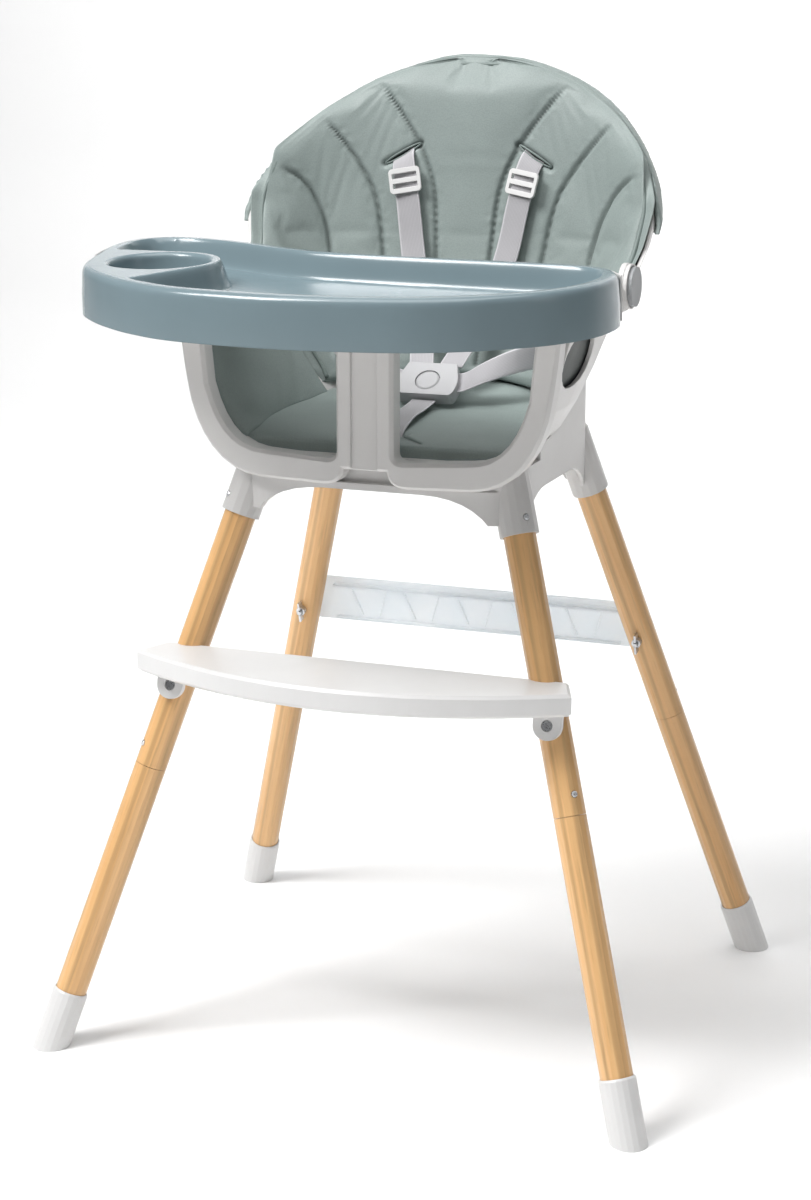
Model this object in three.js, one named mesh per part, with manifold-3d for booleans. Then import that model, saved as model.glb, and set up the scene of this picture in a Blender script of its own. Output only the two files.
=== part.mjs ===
// A child's high chair on four splayed wooden legs: moulded bucket seat, two-layer tray,
// padded cushion set with a five-point harness, footrest and rear brace.
// Millimetres, +Z up, and the chair faces -Y. The dimensions below are measured from the point on
// the floor midway between the four feet. The finished group is then moved along Y, so that its
// origin is on the floor under the middle of its bounding box.

import * as THREE from "three";
import { mergeVertices } from "three/addons/utils/BufferGeometryUtils.js";
import Module from "manifold-3d";

const wasm = await Module();
wasm.setup();

// ---------------------------------------------------------------- driving dimensions

// A gap that keeps neighbouring pieces apart.
const GAP = 0.4;

// Legs: the axis runs from a point on the floor to the bottom of the seat's socket.
const FOOT_X = 292;
const FOOT_Y = 245.5;
const SOCKET_X = 140;
const SOCKET_Y = 113.5;
const SOCKET_Z = 516.7;
const LEG_RADIUS = 15.2;
const LEG_TOP_Z = 568;
const LEG_SEAM_Z = 275;
const TENON_RADIUS = 9;
const TENON_LENGTH = 45;
const SOCKET_RADIUS = 18.6;
const CAP_TOP_Z = 55;
const CAP_RADIUS = 17.3;
const SOCKET_BUTTON_Z = 530;
const SEAM_BUTTON_Z = 293;
const LEG_SEGMENTS = 16;
const PIN_SEGMENTS = 8;
const BOLT_HOLE = 2.9;
const BUTTON_RADIUS = 3;

// Bucket seat, on its outer face at each height: half-width, rear depth, the depth at which it is
// widest, and how square its rear corners are (2 is an ellipse).
const BUCKET = [
  { z: 578, half: 104, rear: 70, widest: -70, square: 2.2 },
  { z: 583, half: 124, rear: 82, widest: -70, square: 2.2 },
  { z: 591, half: 140, rear: 92, widest: -70, square: 2.2 },
  { z: 605, half: 154, rear: 102, widest: -66, square: 2.2 },
  { z: 630, half: 168, rear: 114, widest: -62, square: 2.2 },
  { z: 660, half: 179, rear: 124, widest: -54, square: 2.4 },
  { z: 690, half: 187, rear: 132, widest: -44, square: 2.7 },
  { z: 715, half: 194, rear: 138, widest: -30, square: 3 },
  { z: 730, half: 199, rear: 141, widest: -10, square: 3.3 },
  { z: 765, half: 213, rear: 148, widest: 0, square: 3.2 },
  { z: 800, half: 223, rear: 153, widest: 0, square: 3.1 },
  { z: 870, half: 228, rear: 165, widest: 0, square: 3 },
  { z: 960, half: 228, rear: 183, widest: 0, square: 3 },
];
const BUCKET_FRONT = -260;
const SHELL_WALL = 4;
const SHELL_FRONT_Y = -122.6;
const CUSHION_INSET = 5;
const BACK_PAD = 17;
const SIDE_PAD = 9;
const PAD_FRONT_Y = -118;
const PAD_BEND_Y = 20;
const PAD_BEND_Z = 608;
const ARM_WIDTH = 16;
const ARM_FRONT_Z = 722.8;

// The back's outline seen from the front: straight sides below an elliptical arch.
const ARCH_HALF = 222;
const ARCH_SPRING_Z = 750;
const ARCH_TOP_Z = 940;

// Front guard: the frame round the two leg openings, with the post between them.
const GUARD_FRONT_Y = -147;
const GUARD_DEPTH = 24;
const GUARD_TOP_Z = 718;
const GUARD_BOTTOM_Z = 558;
const OPENING_BOTTOM_Z = 582;
const OPENING_OUTER_X = 163;
const POST_HALF = 25;

// Seat base under the bucket.
const BASE_DECK_Z = 577.5;
const BASE_TOP_Z = 640;
const BASE_BOTTOM_Z = 526;
const BASE_HALF = 142;
const BASE_FRONT_Y = -129;
const BASE_REAR_Y = 120;
const BASE_WALL = 4;

// Tray, in its own frame: the origin is on the rim's plane, and the rear is tilted up.
const TRAY_Y = -220;
const TRAY_Z = 762;
const TRAY_TILT = THREE.MathUtils.degToRad(3);
const TRAY_HEIGHT = 44;
const TRAY_FLOOR = -24;
const TRAY_RIM = 15;
const TRAY_SKIN = 3;
const TRAY_SPLIT = 60;
const CUP_X = -178;
const CUP_Y = 24;
const CUP_RADIUS = 46;
const CUP_RING = 56;
const PAN_BOTTOM = -41.9;
const ARM_PLATE_X = 203;
const ARM_PLATE_THICKNESS = 5;
const ARM_NECK_TOP = -34.5;
const KNOB_PLACE = { y: 210, z: -37.7, radius: 21.5 };

// The tray's edge from above, from the middle of the front towards +X: a rounded front, a nearly
// straight rear, and a lobe at the rear left that makes room for the cup.
const TRAY_EDGE = [
  [0, -127],
  [94, -118],
  [150, -99],
  [193, -71],
  [221, -43],
  [240, -8],
  [246, 34],
  [239, 66],
  [220, 88],
  [184, 99],
  [125, 103],
  [60, 106],
  [-10, 111],
  [-60, 119],
  [-100, 133],
  [-142, 152],
  [-186, 167],
  [-226, 171],
  [-255, 159],
  [-269, 130],
  [-267, 90],
  [-256, 46],
  [-246, 8],
  [-232, -22],
  [-210, -48],
  [-184, -71],
  [-147, -96],
  [-94, -117],
];

// Footrest.
const FOOTREST_TOP_Z = 394;
const FOOTREST_THICKNESS = 21;
const FOOTREST_HALF = 215;
const FOOTREST_END_Y = -190;
const FOOTREST_FRONT_Y = -252;
const FOOTREST_REAR_Y = -152;
const FOOTREST_SCREW_Z = 353;

// Rear brace, in a frame that leans with the rear legs.
const BRACE_Z = 362;
const BRACE_HEIGHT = 51;
const BRACE_HALF = 192;
const BRACE_WEB = 2.4;

// Harness webbing.
const WEBBING = 25;
const WEBBING_THICKNESS = 1.6;
const STRAP_TURN = -0.14;
const BUCKLE_TILT = THREE.MathUtils.degToRad(40);

// From the point between the feet to the middle of the bounding box, which the tray draws forward.
const ORIGIN_SHIFT_Y = 41.45;

const SPLAY_X = (FOOT_X - SOCKET_X) / SOCKET_Z;
const SPLAY_Y = (FOOT_Y - SOCKET_Y) / SOCKET_Z;
const LEG_STRETCH = Math.hypot(SPLAY_X, SPLAY_Y, 1);

// ---------------------------------------------------------------- materials

function material(color, roughness, metalness = 0) {
  return new THREE.MeshStandardMaterial({ color, roughness, metalness });
}

const whitePlastic = material(0xd8d7d8, 0.38);
const capPlastic = material(0xe9e9ea, 0.4);
const trayPlastic = material(0x94acb2, 0.25);
const greyPlastic = material(0x9fa3a6, 0.45);
const sageLeather = material(0x8d9f97, 0.5);
const webbing = material(0xb1aeb4, 0.85);
const beech = material(0xe3b47a, 0.45);
const frostedPlastic = material(0xe6eef2, 0.3);
const steel = material(0xb8babd, 0.25, 1);

// ---------------------------------------------------------------- helpers

/** A manifold solid from a closed three.js geometry. */
function solidOf(geometry) {
  const bare = geometry.clone();
  bare.deleteAttribute("normal");
  bare.deleteAttribute("uv");
  const merged = mergeVertices(bare, 1e-4);
  const corners = Array.from(merged.index.array);
  const kept = [];
  for (let i = 0; i < corners.length; i += 3) {
    const [a, b, c] = corners.slice(i, i + 3);
    if (a !== b && b !== c && c !== a) kept.push(a, b, c);
  }
  const vertProperties = new Float32Array(merged.attributes.position.array);
  const triVerts = new Uint32Array(kept);
  return new wasm.Manifold(new wasm.Mesh({ numProp: 3, vertProperties, triVerts }));
}

/** A three.js geometry from a manifold solid. */
function geometryOf(solid) {
  const mesh = solid.getMesh();
  const geometry = new THREE.BufferGeometry();
  geometry.setAttribute("position", new THREE.BufferAttribute(new Float32Array(mesh.vertProperties), 3));
  geometry.setIndex(new THREE.BufferAttribute(new Uint32Array(mesh.triVerts), 1));
  geometry.computeVertexNormals();
  return geometry;
}

function cut(geometry, ...tools) {
  return geometryOf(tools.reduce((solid, tool) => solid.subtract(solidOf(tool)), solidOf(geometry)));
}

function join(geometry, ...others) {
  return geometryOf(others.reduce((solid, other) => solid.add(solidOf(other)), solidOf(geometry)));
}

function common(geometry, ...others) {
  return geometryOf(others.reduce((solid, other) => solid.intersect(solidOf(other)), solidOf(geometry)));
}

/** The convex solid round some geometries. */
function hull(...geometries) {
  return geometryOf(wasm.Manifold.hull(geometries.map(solidOf)));
}

/** A box between two corners. */
function box(low, high) {
  const size = high.map((value, axis) => value - low[axis]);
  const middle = high.map((value, axis) => (value + low[axis]) / 2);
  return new THREE.BoxGeometry(...size).translate(...middle);
}

/** A cylinder along +Z from one height to another. */
function rod(radius, from, to, segments = 20, topRadius = radius) {
  const geometry = new THREE.CylinderGeometry(topRadius, radius, to - from, segments);
  return geometry.rotateX(Math.PI / 2).translate(0, 0, (from + to) / 2);
}

/** A rod along the local X axis. */
function crossRod(radius, from, to, segments = 16) {
  return rod(radius, from, to, segments).rotateY(Math.PI / 2);
}

/** A shape drawn in XY, extruded up from a height. */
function slab(shape, from, to, options = {}) {
  const settings = { depth: to - from, bevelEnabled: false, curveSegments: 7, ...options };
  return new THREE.ExtrudeGeometry(shape, settings).translate(0, 0, from);
}

/** A shape drawn as X and Z, extruded towards +Y from a front plane. */
function frontSlab(shape, front, depth, options = {}) {
  return slab(shape, 0, depth, options).rotateX(Math.PI / 2).translate(0, front + depth, 0);
}

/** A shape drawn as Y and Z, extruded towards +X. */
function sideSlab(shape, from, to) {
  const turn = new THREE.Matrix4().makeBasis(
    new THREE.Vector3(0, 1, 0),
    new THREE.Vector3(0, 0, 1),
    new THREE.Vector3(1, 0, 0),
  );
  return slab(shape, from, to).applyMatrix4(turn);
}

function outline(points) {
  return new THREE.Shape(points.map(([x, y]) => new THREE.Vector2(x, y)));
}

/** Move every vertex of a geometry by a function of its place. */
function reshape(geometry, move) {
  const place = geometry.attributes.position;
  const point = new THREE.Vector3();
  for (let i = 0; i < place.count; i += 1) {
    point.fromBufferAttribute(place, i);
    move(point);
    place.setXYZ(i, point.x, point.y, point.z);
  }
  return geometry;
}

/** A solid through level rings. section(angle, row) gives the ring's point as {x, y, z}. */
function loft(rows, segments, section) {
  const tube = new THREE.CylinderGeometry(1, 1, 1, segments, rows - 1).rotateX(Math.PI / 2);
  return reshape(tube, (point) => {
    const reach = Math.min(1, Math.hypot(point.x, point.y));
    const row = Math.round((point.z + 0.5) * (rows - 1));
    const ring = section(Math.atan2(point.y, point.x), row);
    point.set(ring.x * reach, ring.y * reach + ring.centre * (1 - reach), ring.z);
  });
}

function power(value, exponent) {
  return Math.sign(value) * Math.abs(value) ** exponent;
}

/** A band of webbing along a curve, with its width along a fixed direction. */
function ribbon(points, across, steps = 14, width = WEBBING, thickness = WEBBING_THICKNESS) {
  const curve = new THREE.CatmullRomCurve3(points.map((point) => new THREE.Vector3(...point)));
  const side = new THREE.Vector3(...across).normalize();
  return reshape(new THREE.BoxGeometry(1, 1, 1, steps, 1, 1), (point) => {
    const along = point.x + 0.5;
    const tangent = curve.getTangent(along);
    const normal = new THREE.Vector3().crossVectors(tangent, side).normalize();
    const spread = side.clone().multiplyScalar(point.y * width);
    const lift = normal.multiplyScalar(point.z * thickness);
    point.copy(curve.getPoint(along)).add(spread).add(lift);
  });
}

/** A frame at origin with Z along one direction and X as near as it can be to another. */
function frameAt(origin, along, towards) {
  const z = along.clone().normalize();
  const x = towards.clone().addScaledVector(z, -towards.dot(z)).normalize();
  const y = new THREE.Vector3().crossVectors(z, x);
  return new THREE.Matrix4().makeBasis(x, y, z).setPosition(origin);
}

function piece(name, geometry, look) {
  const mesh = new THREE.Mesh(geometry, look);
  mesh.name = name;
  return mesh;
}

function groupAt(matrix, ...children) {
  const group = new THREE.Group();
  matrix.decompose(group.position, group.quaternion, group.scale);
  group.add(...children);
  return group;
}

// ---------------------------------------------------------------- legs

const CORNERS = [
  { name: "front_left", x: -1, y: -1 },
  { name: "front_right", x: 1, y: -1 },
  { name: "rear_left", x: -1, y: 1 },
  { name: "rear_right", x: 1, y: 1 },
];

/** The leg's own frame: Z runs up its axis from the floor, X points out from the chair. */
function legFrame(corner) {
  const along = new THREE.Vector3(-corner.x * SPLAY_X, -corner.y * SPLAY_Y, 1);
  const outward = new THREE.Vector3(corner.x * SPLAY_X, corner.y * SPLAY_Y, 0);
  return frameAt(new THREE.Vector3(corner.x * FOOT_X, corner.y * FOOT_Y, 0), along, outward);
}

/** A height above the floor, as a distance up the leg's axis. */
function upLeg(height) {
  return height * LEG_STRETCH;
}

/** A bolt hole through the leg square to its axis, fore and aft, in the leg's frame. */
function boltHole(corner, height, from, to) {
  const toLeg = new THREE.Matrix4().extractRotation(legFrame(corner)).invert();
  const outward = new THREE.Vector3(0, corner.y, SPLAY_Y).applyMatrix4(toLeg);
  const turn = Math.atan2(outward.y, outward.x);
  return crossRod(BOLT_HOLE, from, to, PIN_SEGMENTS).rotateZ(turn).translate(0, 0, upLeg(height));
}

function upperLeg(corner) {
  const seam = upLeg(LEG_SEAM_Z);
  const body = rod(LEG_RADIUS, seam + GAP, upLeg(LEG_TOP_Z), LEG_SEGMENTS);
  const bore = rod(TENON_RADIUS + GAP, seam, seam + TENON_LENGTH + 2, 12);
  const seamHole = crossRod(BUTTON_RADIUS + GAP, 0, 20, PIN_SEGMENTS).translate(0, 0, upLeg(SEAM_BUTTON_Z));
  const socketHole = crossRod(BUTTON_RADIUS + GAP, 2, 20, PIN_SEGMENTS).translate(0, 0, upLeg(SOCKET_BUTTON_Z));
  const bolt =
    corner.y < 0 ? boltHole(corner, FOOTREST_SCREW_Z, -4, 20) : boltHole(corner, BRACE_Z, -20, 20);
  return cut(body, bore, seamHole, socketHole, bolt);
}

function lowerLeg() {
  const seam = upLeg(LEG_SEAM_Z);
  const body = rod(LEG_RADIUS, 15, seam, LEG_SEGMENTS);
  const tenon = rod(TENON_RADIUS, seam - 4, seam + TENON_LENGTH, 12);
  const springHole = crossRod(BUTTON_RADIUS + GAP, -6.5, 20, PIN_SEGMENTS).translate(0, 0, upLeg(SEAM_BUTTON_Z));
  return cut(join(body, tenon), springHole);
}

function footCap() {
  const top = upLeg(CAP_TOP_Z);
  const body = join(rod(CAP_RADIUS, -12, top - 2), rod(CAP_RADIUS, top - 2, top, 20, CAP_RADIUS - 1));
  const bore = rod(LEG_RADIUS + GAP, 15 - GAP, top + 1, LEG_SEGMENTS);
  const lean = Math.atan(Math.hypot(SPLAY_X, SPLAY_Y));
  const floor = box([-60, -60, -60], [60, 60, 0]).rotateY(lean);
  return cut(body, bore, floor);
}

function snapButton(from, to, height) {
  const pin = crossRod(BUTTON_RADIUS, from, to - 0.8, PIN_SEGMENTS);
  const dome = rod(BUTTON_RADIUS, to - 0.8, to, PIN_SEGMENTS, BUTTON_RADIUS - 0.9).rotateY(Math.PI / 2);
  return join(pin, dome).translate(0, 0, upLeg(height));
}

function leg(corner) {
  return groupAt(
    legFrame(corner),
    piece(`leg_upper_${corner.name}`, upperLeg(corner), beech),
    piece(`leg_lower_${corner.name}`, lowerLeg(), beech),
    piece(`foot_${corner.name}`, footCap(), capPlastic),
    piece(`socket_button_${corner.name}`, snapButton(9, SOCKET_RADIUS + 0.6, SOCKET_BUTTON_Z), steel),
    piece(`seam_button_${corner.name}`, snapButton(3, LEG_RADIUS + 0.9, SEAM_BUTTON_Z), steel),
  );
}

/** A solid round every leg's axis, in the chair's frame. */
function alongLegs(make, corners = CORNERS) {
  return corners.map((corner) => make(corner).applyMatrix4(legFrame(corner)));
}

// ---------------------------------------------------------------- seat

/** The bucket's solid, its faces moved in by a distance. */
function bucket(inset) {
  return loft(BUCKET.length, 32, (angle, row) => {
    const { z, half, rear, widest, square } = BUCKET[row];
    const behind = Math.sin(angle) > 0;
    const exponent = behind ? square : 4;
    const depth = behind ? rear - inset - widest : widest - BUCKET_FRONT;
    const floorShare = THREE.MathUtils.clamp((630 - z) / 52, 0, 1);
    return {
      x: (half - inset) * power(Math.cos(angle), 2 / exponent),
      y: widest + depth * power(Math.sin(angle), 2 / exponent),
      z: z + inset * floorShare,
      centre: widest,
    };
  });
}

/** The back's arch seen from the front, moved in by a distance, as a deep prism. */
function arch(inset) {
  const half = ARCH_HALF - inset;
  const shape = new THREE.Shape();
  shape.moveTo(-half, 500);
  shape.lineTo(half, 500);
  shape.lineTo(half, ARCH_SPRING_Z);
  shape.absellipse(0, ARCH_SPRING_Z, half, ARCH_TOP_Z - inset - ARCH_SPRING_Z, 0, Math.PI, false, 0);
  return frontSlab(shape, -300, 600, { curveSegments: 16 });
}

function armHeight(y) {
  return ARM_FRONT_Z + Math.tan(TRAY_TILT) * (y - SHELL_FRONT_Y);
}

/** The back's front edge seen from the side, from the arms to the top. */
function backEdge(forward) {
  const edge = [[40, 738], [62, 762], [76, 800], [96, 860], [120, 910], [150, 960]];
  return edge.map(([y, z]) => [y - forward, z]);
}

function shellProfile() {
  const arms = [[SHELL_FRONT_Y, 560], [260, 560], [260, 960]];
  const edge = backEdge(0).reverse();
  const front = [[24, armHeight(24)], [SHELL_FRONT_Y, ARM_FRONT_Z]];
  return outline([...arms, ...edge, ...front]);
}

function seatShell() {
  const wall = cut(bucket(0), bucket(SHELL_WALL));
  const armBand = sideSlab(
    outline([[SHELL_FRONT_Y - 5, 713], [34, 713], [34, 760], [SHELL_FRONT_Y - 5, 760]]),
    -250,
    250,
  );
  const arms = common(cut(bucket(0), bucket(ARM_WIDTH)), armBand);
  const trimmed = common(join(wall, arms), sideSlab(shellProfile(), -250, 250), arch(9));
  const opening = rod(1, -250, 250, 20).scale(27, 42, 1).rotateY(Math.PI / 2).translate(0, -80, 677);
  const crotchSlot = box([-15, -84, 570], [15, -76, 600]);
  return cut(trimmed, opening, crotchSlot);
}

/** One leg opening of the guard, its lower corners rounded. */
function guardOpening(side) {
  const inner = side * (POST_HALF + 3);
  const outer = side * OPENING_OUTER_X;
  const top = GUARD_TOP_Z - 13;
  const hole = new THREE.Path();
  hole.moveTo(inner, top);
  hole.lineTo(inner, OPENING_BOTTOM_Z + 8);
  hole.quadraticCurveTo(inner, OPENING_BOTTOM_Z, inner + side * 10, OPENING_BOTTOM_Z);
  hole.lineTo(side * 100, OPENING_BOTTOM_Z + 4);
  hole.bezierCurveTo(side * 128, OPENING_BOTTOM_Z + 5, side * 146, OPENING_BOTTOM_Z + 22, outer - side * 6, 645);
  hole.lineTo(outer, top);
  return hole;
}

function guardOutline() {
  const shape = new THREE.Shape();
  const low = GUARD_BOTTOM_Z;
  shape.moveTo(POST_HALF - 4, 573);
  shape.quadraticCurveTo(POST_HALF - 2, low, POST_HALF + 16, low);
  shape.lineTo(104, low + 2);
  shape.bezierCurveTo(140, low + 4, 164, 588, 175, 628);
  shape.quadraticCurveTo(183, 664, 187, GUARD_TOP_Z);
  shape.lineTo(-187, GUARD_TOP_Z);
  shape.quadraticCurveTo(-183, 664, -175, 628);
  shape.bezierCurveTo(-164, 588, -140, low + 4, -104, low + 2);
  shape.lineTo(-POST_HALF - 16, low);
  shape.quadraticCurveTo(2 - POST_HALF, low, 4 - POST_HALF, 573);
  shape.holes.push(guardOpening(-1), guardOpening(1));
  return shape;
}

function frontGuard() {
  const bevel = { bevelEnabled: true, bevelThickness: 4, bevelSize: 3, bevelOffset: -3, bevelSegments: 1 };
  const body = frontSlab(guardOutline(), GUARD_FRONT_Y + 4, GUARD_DEPTH - 8, { curveSegments: 7, ...bevel });
  const recess = box([-13, GUARD_FRONT_Y - 5, 560], [13, GUARD_FRONT_Y + 2.5, GUARD_TOP_Z - 12]);
  return cut(body, recess);
}

/** A rounded rectangle in plan. */
function roundedPlan(half, front, rear, radius) {
  const shape = new THREE.Shape();
  shape.moveTo(half - radius, front);
  shape.absarc(half - radius, front + radius, radius, -Math.PI / 2, 0);
  shape.absarc(half - radius, rear - radius, radius, 0, Math.PI / 2);
  shape.absarc(radius - half, rear - radius, radius, Math.PI / 2, Math.PI);
  shape.absarc(radius - half, front + radius, radius, Math.PI, 1.5 * Math.PI);
  return shape;
}

/** The arch under an apron: flat in the middle, running down to the legs at both ends. */
function apronArch(reach, middle, crown) {
  const foot = BASE_BOTTOM_Z - 12;
  const shape = new THREE.Shape();
  shape.moveTo(middle - reach, foot);
  shape.lineTo(middle + reach, foot);
  shape.bezierCurveTo(middle + reach - 8, crown - 12, middle + reach * 0.7, crown, middle + reach * 0.4, crown);
  shape.lineTo(middle - reach * 0.4, crown);
  shape.bezierCurveTo(middle - reach * 0.7, crown, middle - reach + 8, crown - 12, middle - reach, foot);
  return shape;
}

function seatBase() {
  const middle = (BASE_FRONT_Y + BASE_REAR_Y) / 2;
  const block = slab(roundedPlan(BASE_HALF, BASE_FRONT_Y, BASE_REAR_Y, 42), BASE_BOTTOM_Z, BASE_TOP_Z);
  const hollowPlan = roundedPlan(
    BASE_HALF - BASE_WALL,
    SHELL_FRONT_Y + BASE_WALL,
    BASE_REAR_Y - BASE_WALL,
    42 - BASE_WALL,
  );
  const hollow = slab(hollowPlan, BASE_BOTTOM_Z - 20, BASE_DECK_Z - BASE_WALL);
  const frontArch = frontSlab(apronArch(120, 0, 551), -200, 400);
  const sideArch = sideSlab(apronArch(96, middle, 551), -200, 200);
  const seat = cut(bucket(-GAP), box([-300, -400, 500], [300, BASE_FRONT_Y - 5, 1000]));
  const frontLedge = box([-200, -200, BASE_DECK_Z], [200, -60, BASE_TOP_Z + 90]);
  const guardSpace = box([-200, -200, GUARD_BOTTOM_Z - GAP], [200, SHELL_FRONT_Y, BASE_TOP_Z]);
  const sockets = alongLegs(() => rod(SOCKET_RADIUS, upLeg(SOCKET_Z), upLeg(BASE_DECK_Z), LEG_SEGMENTS));
  const bores = alongLegs(() => rod(LEG_RADIUS + GAP, upLeg(500), upLeg(LEG_TOP_Z) + GAP, LEG_SEGMENTS));
  const pinHoles = alongLegs(() => crossRod(BUTTON_RADIUS + GAP, 8, 26, PIN_SEGMENTS).translate(0, 0, upLeg(SOCKET_BUTTON_Z)));
  const frame = join(cut(block, hollow, frontArch, sideArch), ...sockets);
  return cut(frame, seat, frontLedge, guardSpace, ...bores, ...pinHoles);
}

// ---------------------------------------------------------------- tray

const trayEdge = new THREE.CatmullRomCurve3(
  TRAY_EDGE.map(([x, y]) => new THREE.Vector3(x, y, 0)),
  true,
  "centripetal",
);

/** A point of the tray's edge moved in by a distance, at an angle round the tray. */
function trayPoint(angle, inset) {
  const share = (angle / (2 * Math.PI) + 1.25) % 1;
  const point = trayEdge.getPointAt(share);
  const along = trayEdge.getTangentAt(share);
  return { x: point.x - along.y * inset, y: point.y + along.x * inset, centre: 0 };
}

/** A solid of the tray's outline through [height, inset] rings. */
function trayLoft(rings) {
  return loft(rings.length, 56, (angle, row) => {
    const [z, inset] = rings[row];
    return { ...trayPoint(angle, inset), z };
  });
}

function behindSplit(from) {
  return box([-400, TRAY_SPLIT, from], [400, 400, 50]);
}

function aheadOfSplit(from) {
  return box([-400, -400, from], [400, TRAY_SPLIT, 50]);
}

function cupAt(radius, from, to, topRadius = radius) {
  return rod(radius, from, to, 28, topRadius).translate(CUP_X, CUP_Y, 0);
}

/** The land that joins the cup's ring to the rim at its left, smaller all round by a margin. */
function cupLand(margin, from, to) {
  const corners = [[-256, 66], [-167, -60]];
  const posts = corners.map(([x, y]) => rod(12 - margin, from, to, 12).translate(x, y, 0));
  return hull(cupAt(CUP_RING - margin, from, to), ...posts);
}

function trayCover() {
  const outer = trayLoft([[-TRAY_HEIGHT, -1.5], [-4, 0.5], [-1.2, 2], [0, 5]]);
  const recess = cut(
    trayLoft([
      [TRAY_FLOOR, TRAY_RIM + 8],
      [TRAY_FLOOR + 4, TRAY_RIM + 4],
      [-4, TRAY_RIM],
      [2, TRAY_RIM - 2],
    ]),
    cupLand(0, -60, 10),
  );
  const groove = cut(
    trayLoft([[-60, TRAY_SKIN - 1.5], [-4 - TRAY_SKIN, TRAY_SKIN + 0.5]]),
    trayLoft([[-60, TRAY_RIM - TRAY_SKIN], [0, TRAY_RIM - TRAY_SKIN]]),
  );
  const under = trayLoft([[-60, TRAY_SKIN - 1.5], [TRAY_FLOOR - TRAY_SKIN, TRAY_SKIN + 0.5]]);
  const landHollow = common(cupLand(TRAY_SKIN, -60, -TRAY_SKIN), trayLoft([[-60, TRAY_RIM], [0, TRAY_RIM]]));
  const rearSkirt = box([-400, TRAY_SPLIT - 1, -80], [400, 400, -32]);
  const body = cut(outer, recess, groove, under, landHollow, rearSkirt);
  const cupWall = cupAt(CUP_RADIUS + 2.5, TRAY_FLOOR - 13, -1);
  const cupBore = cupAt(CUP_RADIUS - 2, TRAY_FLOOR - 10, 5, CUP_RADIUS + 0.5);
  return cut(join(body, cupWall), cupBore);
}

/** One side arm of the under-tray, with the collar that holds its release knob. */
function trayArm(side) {
  const profile = new THREE.Shape();
  const end = KNOB_PLACE;
  const below = PAN_BOTTOM - 8;
  profile.moveTo(TRAY_SPLIT + 8, below);
  profile.lineTo(end.y - 8, end.z - end.radius);
  profile.absarc(end.y, end.z, end.radius, -Math.PI / 2, Math.PI);
  profile.lineTo(end.y - end.radius, ARM_NECK_TOP);
  profile.lineTo(TRAY_SPLIT + 8, ARM_NECK_TOP);
  const nearX = side > 0 ? ARM_PLATE_X : -ARM_PLATE_X - ARM_PLATE_THICKNESS;
  const plate = sideSlab(profile, nearX, nearX + ARM_PLATE_THICKNESS);
  const collar = cut(
    crossRod(end.radius - 0.5, ARM_PLATE_X + 4, ARM_PLATE_X + 9, 24),
    crossRod(end.radius - 2.5, ARM_PLATE_X + 5, ARM_PLATE_X + 10, 24),
  );
  const stemHole = crossRod(6.5, ARM_PLATE_X - 5, ARM_PLATE_X + 8, 14);
  const place = (geometry) => geometry.rotateZ(side > 0 ? 0 : Math.PI).translate(0, end.y, end.z);
  return cut(join(plate, place(collar)), place(stemHole));
}

function trayBase() {
  const height = 3;
  const floor = join(
    trayLoft([[PAN_BOTTOM, 4.5], [PAN_BOTTOM + height, 4.5]]),
    common(trayLoft([[PAN_BOTTOM, -3.5], [PAN_BOTTOM + height, -3.5]]), behindSplit(-60)),
  );
  const frontWall = common(
    cut(trayLoft([[PAN_BOTTOM, 4.5], [-8.5, 4.5]]), trayLoft([[-60, 7], [0, 7]])),
    aheadOfSplit(-60),
  );
  const rearWall = common(
    cut(trayLoft([[PAN_BOTTOM, -3.5], [-3, -3]]), trayLoft([[-60, -1.3], [0, -1.3]])),
    behindSplit(-60),
  );
  const bridges = [-1, 1].map((side) => {
    const middle = side * (ARM_PLATE_X - 1);
    return box([middle - 6, TRAY_SPLIT, PAN_BOTTOM], [middle + 6, 118, PAN_BOTTOM + height]);
  });
  return join(floor, frontWall, rearWall, ...bridges, trayArm(-1), trayArm(1));
}

function trayKnob(side) {
  const disc = crossRod(KNOB_PLACE.radius - 3, ARM_PLATE_X + 8.5, ARM_PLATE_X + 13, 24);
  const stem = crossRod(6, ARM_PLATE_X + 0.5, ARM_PLATE_X + 9, 14);
  return join(disc, stem).rotateZ(side > 0 ? 0 : Math.PI).translate(0, KNOB_PLACE.y, KNOB_PLACE.z);
}

function tray() {
  const frame = new THREE.Matrix4().makeRotationX(TRAY_TILT).setPosition(0, TRAY_Y, TRAY_Z);
  return groupAt(
    frame,
    piece("tray_base", trayBase(), whitePlastic),
    piece("tray_cover", trayCover(), trayPlastic),
    piece("tray_knob_left", trayKnob(-1), greyPlastic),
    piece("tray_knob_right", trayKnob(1), greyPlastic),
  );
}

// ---------------------------------------------------------------- cushions and harness

/** The seat pad's top, which rises towards the rear, and faster behind the buckle. */
function padTop(y) {
  return y < PAD_BEND_Y ? PAD_BEND_Z - 0.1 * (PAD_BEND_Y - y) : PAD_BEND_Z + 0.22 * (y - PAD_BEND_Y);
}

function seatCushion() {
  const front = PAD_FRONT_Y;
  const rear = 110;
  const base = [[front, 570], [rear, 570]];
  const top = [[rear, padTop(rear)], [PAD_BEND_Y, PAD_BEND_Z], [front + 6, padTop(front)], [front, 589]];
  const profile = outline([...base, ...top]);
  const slot = box([-15, -84, 560], [15, -76, 640]);
  return cut(common(bucket(CUSHION_INSET), sideSlab(profile, -200, 200)), slot);
}

function sideCushion(side) {
  const layer = cut(bucket(CUSHION_INSET), bucket(CUSHION_INSET + SIDE_PAD));
  const profile = outline([[PAD_FRONT_Y, 596], [44, padTop(44) + 1], [44, 711], [PAD_FRONT_Y, 711]]);
  return common(layer, side > 0 ? sideSlab(profile, 60, 250) : sideSlab(profile, -250, -60));
}

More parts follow.
